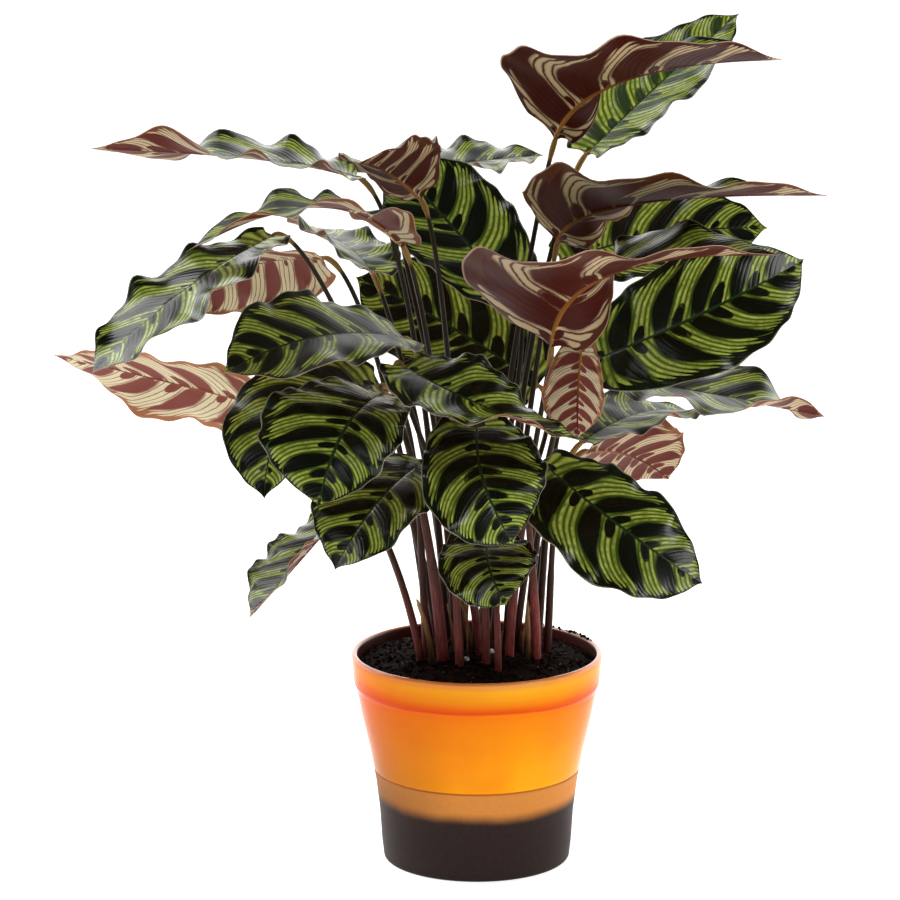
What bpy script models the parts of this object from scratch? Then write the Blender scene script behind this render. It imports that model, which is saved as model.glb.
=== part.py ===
"""A potted calathea: patterned leaves on thin stalks, standing in soil in a glazed round pot.

Lengths are in millimetres until a mesh is made, and the origin is the middle of the pot's base.
Each leaf is placed by three points of its midrib, as someone standing in front of the plant and
looking slightly down would give them: across, up, and towards them.
"""

import math
from collections import namedtuple

import bmesh
import bpy
import numpy as np
from mathutils import Matrix, Vector

MM = 0.001
GAP = 0.3

# Pot: radii of the wall against the height above the table
POT_HEIGHT = 144.0
WALL = 4.0
FLOOR = 6.0
POT_OUTSIDE = (
    (60.5, 0.0), (63.5, 2.5), (64.7, 12.5), (66.1, 34.0), (68.8, 56.0), (72.9, 77.5),
    (77.8, 99.0), (82.1, 121.0), (83.4, 122.4), (84.2, 132.0), (85.0, 141.8),
)
POT_LIP = ((83.8, 143.7), (82.6, 144.0), (81.4, 143.2))
POT_STEPS = 48

# Soil: a low mound, with a hole for each stalk
SOIL_EDGE_HEIGHT = 136.5
SOIL_MOUND = 9.0
SOIL_RINGS = 5
STALK_DEPTH = 24.0

# Line of sight for the leaf table: it starts at the middle of the rim
SIGHT_DOWN = math.radians(12.35)
ACROSS = np.array((1.0, 0.0, 0.0))
UP = np.array((0.0, math.sin(SIGHT_DOWN), math.cos(SIGHT_DOWN)))
NEAR = np.array((0.0, -math.cos(SIGHT_DOWN), math.sin(SIGHT_DOWN)))
RIM_CENTRE = np.array((0.0, 0.0, POT_HEIGHT))
EYE = RIM_CENTRE - 18.0 * ACROSS + 136.0 * UP + 2850.0 * NEAR
UPRIGHT = 0.22

# Blade: rows along the midrib, columns from one margin to the other
BLADE_ROWS = np.linspace(0.0, 1.0, 14)
BLADE_COLUMNS = np.array((-1.0, -0.62, -0.25, 0.0, 0.25, 0.62, 1.0))
BLADE_THICK = 0.8
MIDRIB_DEPTH = 1.8
WAVE_START = 2.5
LOBE_BACK = 8.0

# Stalk: radii below the blade and at its very end; how far before the blade it lines up with it
STALK_TOP_RADIUS = 1.6
STALK_END_RADIUS = 1.2
STALK_POINTS = 9
ARRIVAL = 34.0
RISE = 0.42
STALK_GAP = 0.7

# base, bend, tip: midrib points (across, up, towards the viewer) measured from the rim's middle
# face: where the green face looks; width: right and left half; fold and curl of the halves, degrees
# roll: turn about the midrib at base and tip, degrees, and where along it the tip's turn begins
# wave: height, count and start of the waves
# root: where the stalk leaves the soil (x, y); foot: its radius there
Leaf = namedtuple("Leaf", "base bend tip face width fold curl roll wave root foot")

LEAVES = {
    "01": Leaf((-82, 323, -20), (-146, 335, -10), (-255, 341, 0), (0, 97, 24),
               (38, 34), (8, 4), (10, 10), (0, 38, 0.6), (5, 3.5, 0.0), (-20, 20), 2.6),
    "02": Leaf((-39, 308, -5), (-62, 323, 50), (-77, 324, 108), (-5, 98, -20),
               (26, 40), (20, 20), (5, 5), (22, 0, 0.5), (2.5, 3.5, 0.3), (-8, 20), 2.6),
    "03": Leaf((-51, 275, 20), (-106, 298, 70), (-188, 270, 75), (0, 97, 25),
               (30, 38), (4, 8), (10, 10), (0, 0, 0.5), (5, 3.5, 0.1), (-13, 9), 2.6),
    "04": Leaf((-137, 280, 40), (-195, 241, 80), (-250, 189, 105), (-49, 59, 62),
               (32, 44), (5, 5), (10, 10), (0, 0, 0.5), (5, 3.5, 0.2), (-26, 0), 2.6),
    "05": Leaf((-105, 268, -20), (-160, 264, -60), (-213, 240, -100), (0, 50, -87),
               (44, 38), (5, -45), (5, 0), (0, 0, 0.5), (4, 3, 0.0), (-32, 12), 2.6),
    "06": Leaf((-72, 259, -45), (-92, 280, -85), (-125, 297, -150), (0, 90, -30),
               (36, 36), (8, 8), (10, 10), (0, 0, 0.5), (4, 3, 0.0), (-18, 34), 2.6),
    "07": Leaf((-130, 163, 0), (-208, 183, -15), (-286, 201, -30), (0, 80, -60),
               (40, 38), (-8, -8), (0, 0), (0, -14, 0.5), (6, 2.0, 0.4), (-40, 4), 2.6),
    "08": Leaf((-49, 212, 18), (-105, 211, 88), (-163, 188, 115), (0, 73, 68),
               (42, 42), (13, 13), (-5, -5), (0, 0, 0.5), (4, 3, 0.0), (-14, -7), 2.6),
    "09": Leaf((-65, 180, 32), (-120, 163, 77), (-140, 108, 97), (-35, 45, 80),
               (42, 42), (8, 8), (0, 0), (0, 0, 0.5), (3, 3, 0.0), (-34, -12), 2.6),
    "10": Leaf((-64, 173, 73), (-87, 149, 118), (-103, 102, 128), (-20, 40, 85),
               (56, 40), (8, 8), (-5, -5), (0, 0, 0.5), (3, 3, 0.0), (-23, -24), 4.0),
    "11": Leaf((-33, 130, 60), (-64, 104, 103), (-92, 61, 120), (-45, 37, 80),
               (43, 38), (8, 8), (-5, -5), (0, 0, 0.5), (3, 3, 0.0), (-12, -36), 2.6),
    "12": Leaf((-89, 99, 30), (-116, 66, 60), (-149, 28, 75), (-70, 30, 36),
               (34, 34), (22, 22), (0, 0), (0, 0, 0.5), (3, 3, 0.0), (-38, -24), 2.6),
    "13": Leaf((-50, 193, 84), (-1, 167, 120), (63, 144, 120), (18, 72, 67),
               (40, 38), (10, 10), (0, 0), (0, -30, 0.4), (4, 3, 0.0), (2, -11), 2.6),
    "14": Leaf((0, 157, 70), (3, 118, 110), (22, 77, 114), (0, 35, 90),
               (40, 42), (8, 8), (-5, -5), (0, 0, 0.5), (3, 3, 0.0), (6, -32), 2.6),
    "15": Leaf((8, 81, 53), (7, 61, 88), (18, 36, 95), (0, 45, 90),
               (33, 33), (8, 8), (0, 0), (0, 0, 0.5), (2, 3, 0.0), (14, -44), 2.2),
    "16": Leaf((42, 129, 70), (90, 89, 108), (144, 51, 112), (10, 50, 85),
               (48, 34), (8, 8), (-5, -5), (0, 0, 0.5), (3, 3, 0.0), (40, -16), 3.0),
    "17": Leaf((70, 206, 44), (67, 174, 54), (67, 146, 53), (0, 10, -100),
               (18, 24), (12, 12), (5, 5), (0, 0, 0.5), (1, 3, 0.0), (27, 3), 2.2),
    "18": Leaf((50, 207, 45), (87, 252, 86), (190, 264, 110), (0, 100, 0),
               (94, 50), (6, 20), (10, 5), (-36, 10, 0.3), (4, 3.5, 0.2), (22, -16), 2.8),
    "19": Leaf((78, 197, 10), (147, 226, 40), (217, 263, 25), (10, 25, 95),
               (42, 42), (8, 8), (-5, -5), (0, 0, 0.5), (3, 3, 0.0), (34, 8), 2.6),
    "20": Leaf((59, 266, -45), (124, 285, -60), (199, 291, -70), (0, 50, 80),
               (38, 38), (8, 8), (0, 0), (0, 0, 0.5), (3, 3, 0.0), (24, 26), 2.6),
    "21": Leaf((55, 278, 6), (100, 300, 52), (224, 306, 60), (0, 100, 0),
               (52, 34), (26, 0), (5, 5), (-22, 18, 0.35), (5, 3.5, 0.0), (20, -2), 2.6),
    "22": Leaf((54, 349, 0), (98, 384, 38), (196, 396, 60), (0, 100, 0),
               (76, 34), (5, 40), (10, 5), (-55, 0, 0.5), (3.5, 3.5, 0.0), (4, 1), 2.6),
    "23": Leaf((76, 340, -30), (124, 387, -55), (180, 438, -75), (-47, 52, 70),
               (34, 40), (8, 8), (0, 0), (0, 0, 0.5), (3, 3, 0.0), (12, 28), 2.6),
    "24": Leaf((-50, 335, -125), (-6, 342, -150), (46, 348, -165), (0, 94, 34),
               (36, 36), (8, 8), (0, 0), (0, 0, 0.5), (4, 3, 0.0), (0, 46), 2.6),
    "25": Leaf((26, 239, -25), (-17, 292, -62), (-57, 335, -78), (20, 50, 85),
               (44, 44), (8, 8), (0, 0), (0, 0, 0.5), (3, 3, 0.0), (4, 10), 2.6),
    "26": Leaf((82, 187, -15), (156, 175, 8), (230, 160, 26), (0, 93, 37),
               (40, 40), (8, 8), (0, 0), (0, -60, 0.7), (5, 3, 0.0), (42, 22), 2.6),
    "27": Leaf((72, 142, 0), (113, 162, -40), (152, 162, -90), (0, 90, 30),
               (38, 38), (8, 8), (0, 0), (0, 0, 0.5), (4, 3, 0.0), (48, 4), 2.6),
    "28": Leaf((77, 136, -45), (107, 133, -80), (135, 117, -110), (0, 70, -70),
               (38, 38), (8, 8), (0, 0), (0, 0, 0.5), (3, 3, 0.0), (36, 34), 2.6),
    "29": Leaf((44, 182, -110), (-15, 222, -125), (-82, 258, -140), (-25, 40, 88),
               (44, 44), (8, 8), (0, 0), (0, 0, 0.5), (3, 3, 0.0), (9, 45), 2.6),
}


def clear_scene():
    for old in list(bpy.data.objects):
        bpy.data.objects.remove(old, do_unlink=True)


def material(name, colour, roughness, metallic=0.0):
    made = bpy.data.materials.new(name)
    made.use_nodes = True
    shader = made.node_tree.nodes["Principled BSDF"]
    shader.inputs["Base Color"].default_value = (*colour, 1.0)
    shader.inputs["Roughness"].default_value = roughness
    shader.inputs["Metallic"].default_value = metallic
    made.diffuse_color = (*colour, 1.0)
    return made


def unit(vectors):
    """Each vector of an array, made one long."""
    return vectors / np.linalg.norm(vectors, axis=-1, keepdims=True)


def seen(point, slide):
    """A place in space from across, up and near, then slid towards the eye along its line of sight."""
    across, up, near = point
    place = RIM_CENTRE + across * ACROSS + up * UP + near * NEAR
    return place + slide * unit(EYE - place)


def midrib(leaf, along):
    """The parabola through base, bend (half way) and tip, and its direction.

    The line of sight looks down, so a high leaf is slid nearer: that stands the plant upright.
    """
    slide = UPRIGHT * leaf.base[1]
    base, bend, tip = (seen(point, slide) for point in (leaf.base, leaf.bend, leaf.tip))
    pull = 2.0 * bend - (base + tip) / 2.0
    s = along[:, None]
    points = (1 - s) ** 2 * base + 2 * s * (1 - s) * pull + s**2 * tip
    return points, unit((1 - s) * (pull - base) + s * (tip - pull))


def outline(along):
    """Half width against the length, 1 at its widest: a round base, long sides, a blunt point."""
    return along**0.38 * np.clip(1.0 - along**3, 0.0, 1.0) ** 0.75 / 0.696


def smooth(start, end, values):
    """Rises smoothly from 0 at start to 1 at end."""
    x = np.clip((values - start) / (end - start), 0.0, 1.0)
    return x * x * (3.0 - 2.0 * x)


def blade_frame(leaf, along):
    """Midrib points, direction of growth, the blade's left, and the way its green face looks."""
    points, growth = midrib(leaf, along)
    face = leaf.face[0] * ACROSS + leaf.face[1] * UP + leaf.face[2] * NEAR
    normal = unit(face - (growth @ face)[:, None] * growth)
    left = np.cross(normal, growth)
    base_turn, tip_turn, begins = leaf.roll
    turn = base_turn * (1 - smooth(0.0, 0.5, along)) + tip_turn * smooth(begins, begins + 0.3, along)
    turn = np.radians(turn)[:, None]
    return (
        points,
        growth,
        left * np.cos(turn) + normal * np.sin(turn),
        normal * np.cos(turn) - left * np.sin(turn),
    )


def blade(leaf, along, across):
    """The green face on a grid, rows along the midrib and columns from right (-1) to left (+1).

    Each half leaves the midrib at its fold angle and bends on by its curl angle up to the margin,
    as an arc. Waves lift and lower the margin, growing with the distance from the midrib.
    """
    points, growth, left, normal = blade_frame(leaf, along)
    half = np.where(across > 0, 1, 0)
    reach = np.abs(across)
    width = np.array(leaf.width, float)[half]
    fold = np.radians(np.array(leaf.fold, float))[half]
    curl = np.radians(np.array(leaf.curl, float) + 0.01)[half]
    out = width * (np.sin(fold + curl * reach) - np.sin(fold)) / curl
    rise = width * (np.cos(fold) - np.cos(fold + curl * reach)) / curl
    shape = outline(along)[:, None]
    height, count, start = leaf.wave
    beat = np.sin(2 * np.pi * (count * along[:, None] + start + 0.35 * half[None, :]))
    lift = shape * rise + height * beat * shape * reach**WAVE_START
    sideways = shape * out * np.sign(across)
    back = LOBE_BACK * (1 - along[:, None]) ** 5 * reach[None, :] ** 2
    return (
        points[:, None, :]
        + sideways[..., None] * left[:, None, :]
        + lift[..., None] * normal[:, None, :]
        - back[..., None] * growth[:, None, :]
    )


def grid_normals(grid):
    """The way the green face looks at each point of a grid."""
    return unit(np.cross(np.gradient(grid, axis=1), -np.gradient(grid, axis=0)))


def new_object(name, mesh, *materials):
    for made in materials:
        mesh.materials.append(made)
    made = bpy.data.objects.new(name, mesh)
    bpy.context.scene.collection.objects.link(made)
    return made


def make_leaf(number, leaf, upper, lower):
    """A closed blade: the green face, the same grid pushed back by the thickness, and the edge."""
    rows, columns = len(BLADE_ROWS), len(BLADE_COLUMNS)
    along = BLADE_ROWS.copy()
    along[0], along[-1] = 0.004, 0.999
    top = blade(leaf, along, BLADE_COLUMNS)
    rib = MIDRIB_DEPTH * (1 - 0.8 * along)[:, None] * (BLADE_COLUMNS == 0)[None, :]
    under = top - grid_normals(top) * (BLADE_THICK + rib)[..., None]

    mesh = bmesh.new()
    sheets = []
    for grid in (top, under):
        inner = [[mesh.verts.new(p * MM) for p in row] for row in grid[1:-1]]
        middle = columns // 2
        ends = mesh.verts.new(grid[0, middle] * MM), mesh.verts.new(grid[-1, middle] * MM)
        sheets.append((ends, inner))
    for side, (ends, inner) in enumerate(sheets):
        triangles = []
        for c in range(columns - 1):
            triangles.append((ends[0], inner[0][c + 1], inner[0][c]))
            triangles.append((ends[1], inner[-1][c], inner[-1][c + 1]))
            for r in range(rows - 3):
                a, b = inner[r][c], inner[r][c + 1]
                d, e = inner[r + 1][c], inner[r + 1][c + 1]
                triangles += [(a, b, e), (a, e, d)]
        for corners in triangles:
            made = mesh.faces.new(corners if side == 0 else corners[::-1])
            made.material_index = side
    loops = []
    for ends, inner in sheets:
        right = [row[0] for row in inner]
        left = [row[-1] for row in reversed(inner)]
        loops.append([ends[0], *right, ends[1], *left])
    count = len(loops[0])
    for i in range(count):
        j = (i + 1) % count
        edge = mesh.faces.new((loops[0][i], loops[0][j], loops[1][j], loops[1][i]))
        edge.material_index = 1
    bmesh.ops.triangulate(mesh, faces=[f for f in mesh.faces if len(f.verts) > 3])
    bmesh.ops.recalc_face_normals(mesh, faces=mesh.faces)
    data = bpy.data.meshes.new("leaf_" + number)
    mesh.to_mesh(data)
    mesh.free()
    data.shade_smooth()
    data.set_sharp_from_angle(angle=math.radians(60))
    return new_object("leaf_" + number, data, upper, lower)


def soil_height(x, y):
    """The mound: highest in the middle, level with the edge height at the pot's wall."""
    radius = soil_radius(SOIL_EDGE_HEIGHT)
    return SOIL_EDGE_HEIGHT + SOIL_MOUND * (1.0 - (x * x + y * y) / radius**2)


def pot_radius(height):
    """Outer radius of the pot at a height."""
    radii, heights = zip(*POT_OUTSIDE)
    return float(np.interp(height, heights, radii))


def soil_radius(height):
    return pot_radius(height) - WALL - GAP


def stalk_path(leaf):
    """Points from the foot of the stalk in its hole to its end behind the blade.

    It is upright in the soil, then a smooth curve that ends in line with the midrib.
    """
    x, y = leaf.root
    mouth = np.array((x, y, soil_height(x, y) + 3.0))
    foot = mouth - np.array((0.0, 0.0, STALK_DEPTH + 3.0))
    start, growth = midrib(leaf, np.array((0.004, 0.01)))
    end = start[0] - growth[0] * STALK_GAP
    span = np.linalg.norm(end - mouth)
    lean = unit(0.6 * unit(end - mouth) + np.array((0.0, 0.0, 1.0)))
    first = mouth + lean * RISE * span
    second = end - growth[0] * ARRIVAL
    t = np.linspace(0.0, 1.0, STALK_POINTS - 1)[:, None]
    curve = (
        (1 - t) ** 3 * mouth
        + 3 * t * (1 - t) ** 2 * first
        + 3 * t**2 * (1 - t) * second
        + t**3 * end
    )
    return np.vstack((foot[None, :], curve))


def make_stalk(number, leaf, finish):
    path = stalk_path(leaf)
    curve = bpy.data.curves.new("stalk_" + number, "CURVE")
    curve.dimensions = "3D"
    curve.bevel_depth = 1.0 * MM
    curve.bevel_resolution = 1
    curve.use_fill_caps = True
    curve.twist_mode = "MINIMUM"
    spline = curve.splines.new("POLY")
    spline.points.add(len(path) - 1)
    radii = np.linspace(leaf.foot, STALK_TOP_RADIUS, len(path))
    radii[:2] = leaf.foot
    radii[-1] = STALK_END_RADIUS
    for point, place, radius in zip(spline.points, path, radii):
        point.co = (*(place * MM), 1.0)
        point.radius = radius
    curve.materials.append(finish)
    made = bpy.data.objects.new("stalk_" + number, curve)
    bpy.context.scene.collection.objects.link(made)
    return made


def turned(name, profile, finish):
    """A closed outline of (radius, height) turned about the upright axis."""
    mesh = bmesh.new()
    points = [mesh.verts.new((radius * MM, 0.0, height * MM)) for radius, height in profile]
    edges = [mesh.edges.new(pair) for pair in zip(points, points[1:])]
    bmesh.ops.spin(
        mesh, geom=points + edges, cent=(0, 0, 0), axis=(0, 0, 1),
        angle=2 * math.pi, steps=POT_STEPS, use_merge=True,
    )
    bmesh.ops.remove_doubles(mesh, verts=mesh.verts, dist=0.01 * MM)
    bmesh.ops.recalc_face_normals(mesh, faces=mesh.faces)
    data = bpy.data.meshes.new(name)
    mesh.to_mesh(data)
    mesh.free()
    data.shade_smooth()
    data.set_sharp_from_angle(angle=math.radians(30))
    return new_object(name, data, finish)


def make_pot(finish):
    inside = [(radius - WALL, height) for radius, height in POT_OUTSIDE[3:-1][::-1]]
    profile = [(0.0, 0.0), *POT_OUTSIDE, *POT_LIP, *inside,
               (pot_radius(FLOOR) - WALL, FLOOR), (0.0, FLOOR)]
    return turned("pot", profile, finish)


def make_soil(finish, cutters):
    """A plug that fits the pot, domed on top, with a plain hole for each stalk."""
    sides = [(radius - WALL - GAP, height) for radius, height in POT_OUTSIDE[3:-3]]
    edge = soil_radius(SOIL_EDGE_HEIGHT)
    mound = []
    for step in range(SOIL_RINGS + 1):
        radius = edge * (1 - step / SOIL_RINGS)
        mound.append((radius, soil_height(radius, 0.0)))
    bottom = FLOOR + GAP
    profile = [(0.0, bottom), (pot_radius(bottom) - WALL - GAP, bottom), *sides, *mound]
    soil = turned("soil", profile, finish)
    holes = soil.modifiers.new("holes", "BOOLEAN")
    holes.operation = "DIFFERENCE"
    holes.operand_type = "COLLECTION"
    holes.collection = cutters
    return soil


def make_cutters():
    """An upright peg for each hole, from below the foot of the stalk to above the soil."""
    cutters = bpy.data.collections.new("hole_cutters")
    bpy.context.scene.collection.children.link(cutters)
    cutters.hide_render = True
    for number, leaf in LEAVES.items():
        x, y = leaf.root
        top = soil_height(x, y)
        low, high = top - STALK_DEPTH - GAP, top + 12.0
        mesh = bmesh.new()
        place = Matrix.Translation(Vector((x, y, (low + high) / 2)) * MM)
        radius = (leaf.foot + GAP) / math.cos(math.pi / 8)
        bmesh.ops.create_cone(
            mesh, cap_ends=True, segments=8, radius1=radius * MM, radius2=radius * MM,
            depth=(high - low) * MM, matrix=place,
        )
        data = bpy.data.meshes.new("hole_" + number)
        mesh.to_mesh(data)
        mesh.free()
        peg = bpy.data.objects.new("hole_" + number, data)
        peg.hide_render = True
        peg.display_type = "WIRE"
        cutters.objects.link(peg)
    return cutters


def main():
    clear_scene()
    upper = material("leaf_green_face", (0.11, 0.22, 0.03), 0.4)
    lower = material("leaf_maroon_underside", (0.25, 0.05, 0.05), 0.55)
    stem = material("stalk_brown", (0.22, 0.09, 0.06), 0.5)
    make_pot(material("glazed_stoneware_orange", (0.9, 0.25, 0.02), 0.15))
    make_soil(material("peat_soil", (0.03, 0.018, 0.012), 0.95), make_cutters())
    for number, leaf in LEAVES.items():
        make_leaf(number, leaf, upper, lower)
        make_stalk(number, leaf, stem)


main()
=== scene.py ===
# %% [markdown]
# # A potted calathea
# A calathea, or peacock plant, is a tuft of leaves in a pot. Every leaf has a stalk of its own that
# comes straight out of the soil. Its green upper face is painted with dark blotches between bands of
# light stripes, and its underside shows the same pattern in maroon and cream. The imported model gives
# the pot, the soil, the stalks and the blades as plain solids. This script keeps their places, works
# every surface out again on a much finer grid, and gives each one its finish.

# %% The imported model
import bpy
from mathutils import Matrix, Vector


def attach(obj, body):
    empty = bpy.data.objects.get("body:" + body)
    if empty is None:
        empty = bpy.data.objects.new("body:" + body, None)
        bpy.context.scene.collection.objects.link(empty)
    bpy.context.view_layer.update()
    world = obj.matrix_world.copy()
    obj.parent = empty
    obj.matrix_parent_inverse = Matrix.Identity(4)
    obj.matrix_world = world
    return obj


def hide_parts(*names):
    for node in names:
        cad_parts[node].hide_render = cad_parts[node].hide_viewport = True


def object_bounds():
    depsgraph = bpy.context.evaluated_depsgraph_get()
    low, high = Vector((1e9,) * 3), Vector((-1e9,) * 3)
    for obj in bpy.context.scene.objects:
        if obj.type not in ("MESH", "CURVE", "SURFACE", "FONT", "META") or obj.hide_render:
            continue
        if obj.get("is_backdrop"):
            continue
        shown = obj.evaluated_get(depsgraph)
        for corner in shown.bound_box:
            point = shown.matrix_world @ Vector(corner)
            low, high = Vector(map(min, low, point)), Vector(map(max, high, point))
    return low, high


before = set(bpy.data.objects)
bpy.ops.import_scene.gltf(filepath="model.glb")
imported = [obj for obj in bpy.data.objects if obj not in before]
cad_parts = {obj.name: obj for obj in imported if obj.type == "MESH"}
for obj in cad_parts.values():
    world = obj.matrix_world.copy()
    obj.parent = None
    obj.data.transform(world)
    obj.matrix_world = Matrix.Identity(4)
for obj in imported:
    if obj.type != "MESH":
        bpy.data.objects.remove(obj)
cad_low, cad_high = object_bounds()
print("CAD box, metres:", tuple(round(v, 4) for v in cad_low), tuple(round(v, 4) for v in cad_high))

# %% Tools of the trade
import math
from collections import namedtuple

import bmesh
import bpy
import numpy as np
from mathutils import Vector

MM = 0.001
MERGE_WITHIN = 0.002 * MM
print("nodes to dress:", len(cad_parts))

# %% [markdown]
# ## Camera
# The photograph is taken from far away with a long lens, looking down by about twelve degrees. That
# keeps the pot's rim a narrow ellipse and shows the leaves almost without perspective. The same angle
# places the leaves later on, because each one is described as someone sees it from there.

# %% Camera
SIGHT_DOWN = math.radians(12.35)
CAMERA_PLACE = (-0.0182, -2.756, 0.887)
CAMERA_LENS = 168.0

camera = bpy.data.objects.new("camera", bpy.data.cameras.new("camera"))
camera.data.lens = CAMERA_LENS
camera.data.sensor_width = 36.0
camera.location = CAMERA_PLACE
camera.rotation_euler = (math.pi / 2 - SIGHT_DOWN, 0.0, 0.0)
bpy.context.scene.collection.objects.link(camera)
bpy.context.scene.camera = camera
print("camera looks down by", round(math.degrees(SIGHT_DOWN), 2), "degrees")

# %% [markdown]
# ## One way to make every surface
# A leaf, a stalk and a pot are all the same kind of thing to a mesh: rows of closed rings of points.
# On the pot a row is a circle, on a stalk it is a small circle round the path, and on a leaf it runs
# across the green face and back along the underside. So one function joins such rows into a mesh.
# Where points of the grid coincide, as at a leaf's tip, they are merged, which closes the pole.

# %% From rings to a mesh
def unit(vectors):
    """Each vector of an array divided by its own length."""
    return vectors / np.linalg.norm(vectors, axis=-1, keepdims=True)


def smooth(start, end, values):
    """Rises from 0 at start to 1 at end as 3x² - 2x³, and stays level outside."""
    x = np.clip((values - start) / (end - start), 0.0, 1.0)
    return x * x * (3.0 - 2.0 * x)


def skin(name, rings, maps=None, slots=None, sharp=60.0):
    """A closed mesh through rows of rings; rings holds millimetres as (row, place round the ring, xyz).

    maps holds UV maps: for each name, two numbers for every point of the grid.
    slots holds the number of the material for each step up and round the rings.
    sharp is the angle in degrees from which an edge stays crisp.
    """
    rows, around = rings.shape[:2]
    corner = np.arange(rows * around).reshape(rows, around)
    beside = np.roll(corner, -1, axis=1)
    faces = np.stack((corner[:-1], beside[:-1], beside[1:], corner[1:]), axis=-1).reshape(-1, 4)
    mesh = bpy.data.meshes.new(name)
    mesh.from_pydata((rings.reshape(-1, 3) * MM).tolist(), [], faces.tolist())
    for map_name, values in (maps or {}).items():
        layer = mesh.uv_layers.new(name=map_name)
        layer.uv.foreach_set("vector", values.reshape(-1, 2)[faces.ravel()].astype(np.float32).ravel())
    if slots is not None:
        every = np.broadcast_to(slots, (rows - 1, around)).ravel().astype(np.int32)
        mesh.polygons.foreach_set("material_index", every)
    merged = bmesh.new()
    merged.from_mesh(mesh)
    bmesh.ops.remove_doubles(merged, verts=merged.verts, dist=MERGE_WITHIN)
    merged.to_mesh(mesh)
    merged.free()
    mesh.shade_smooth()
    mesh.set_sharp_from_angle(angle=math.radians(sharp))
    return mesh


pieces = []


def piece(name, mesh, materials, node=None):
    """Puts a mesh in the scene as a piece that rides on the root body and may stand for a CAD node."""
    for material in materials:
        mesh.materials.append(material)
    made = bpy.data.objects.new(name, mesh)
    bpy.context.scene.collection.objects.link(made)
    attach(made, "root")
    if node:
        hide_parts(node)
    pieces.append(made)


def triangles_so_far():
    """Triangles in all the pieces: a face of n corners makes n - 2."""
    return sum(len(made.data.loops) - 2 * len(made.data.polygons) for made in pieces)


# %% [markdown]
# ## Materials are made of nodes
# A finish is a small network: coordinates go in, masks are worked out from them, and the masks choose
# colours and roughness. One function adds a node, sets it and links it, and gives back the socket that
# the next node reads. Colours are written as the sRGB hex values that an eye would pick, and turned to
# the linear light that the renderer works in. Patterns read places in metres, so a noise scale of 240
# means a change about every 1000 / 240 = 4 mm.

# %% Colour and node helpers
def linear(hex_colour):
    """sRGB hex to linear: c / 12.92 where dark, else ((c + 0.055) / 1.055) to the power 2.4."""
    srgb = np.array([int(hex_colour[i:i + 2], 16) for i in (1, 3, 5)]) / 255.0
    light = np.where(srgb <= 0.04045, srgb / 12.92, ((srgb + 0.055) / 1.055) ** 2.4)
    return (*(float(c) for c in light), 1.0)


def add(tree, kind, links=None, take=0, points=None, **settings):
    """Adds a shader node and returns its output socket number take.

    settings are the node's own properties. links gives each input socket, by name or number, a value,
    a hex colour or another node's output. points are a colour ramp's stops or a curve's points.
    """
    node = tree.nodes.new("ShaderNode" + kind)
    for key, value in settings.items():
        setattr(node, key, value)
    for key, value in (links or {}).items():
        if isinstance(value, bpy.types.NodeSocket):
            tree.links.new(value, node.inputs[key])
        else:
            node.inputs[key].default_value = linear(value) if isinstance(value, str) else value
    if points and kind == "ValToRGB":
        stops = node.color_ramp.elements
        stops[0].position, stops[1].position = points[0][0], points[-1][0]
        for place, _ in points[1:-1]:
            stops.new(place)
        for stop, (_, colour) in zip(stops, points):
            stop.color = linear(colour)
    if points and kind == "FloatCurve":
        curve = node.mapping.curves[0]
        curve.points[0].location, curve.points[1].location = points[0], points[-1]
        for place in points[1:-1]:
            curve.points.new(*place)
        node.mapping.update()
    return node.outputs[take] if node.outputs else None


COLOUR = {"take": 2, "data_type": "RGBA"}
SOFT = {"interpolation_type": "SMOOTHSTEP"}


def material_of(name, surface, *values):
    """A material whose surface is the output of what the function surface adds to its empty tree."""
    material = bpy.data.materials.new(name)
    material.use_nodes = True
    tree = material.node_tree
    tree.nodes.clear()
    add(tree, "OutputMaterial", {"Surface": surface(tree, *values)})
    return material


print("linear light of mid grey:", round(linear("#808080")[0], 3))

# %% [markdown]
# ## Where the leaves are
# A plant has no drawing, so the leaves are described one by one, the way a botanist's sketch would:
# where the blade starts, bends and ends, where its green face looks, how wide each half is, how far
# the halves fold and curl, how the blade rolls, and how its margin waves. These are the same numbers
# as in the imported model, so each fine blade lies where its plain solid lies.

# %% The leaf table
RIM_HEIGHT = 144.0
ACROSS = np.array((1.0, 0.0, 0.0))
UP = np.array((0.0, math.sin(SIGHT_DOWN), math.cos(SIGHT_DOWN)))
NEAR = np.array((0.0, -math.cos(SIGHT_DOWN), math.sin(SIGHT_DOWN)))
RIM_CENTRE = np.array((0.0, 0.0, RIM_HEIGHT))
EYE = RIM_CENTRE - 18.0 * ACROSS + 136.0 * UP + 2850.0 * NEAR
UPRIGHT = 0.22

# base, bend, tip: midrib points (across, up, towards the viewer) measured from the rim's middle
# face: where the green face looks; width: right and left half; fold and curl of the halves, degrees
# roll: turn about the midrib at base and tip, degrees, and where along it the tip's turn begins
# wave: height, count and start of the waves
# root: where the stalk leaves the soil (x, y); foot: its radius there
Leaf = namedtuple("Leaf", "base bend tip face width fold curl roll wave root foot")

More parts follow.
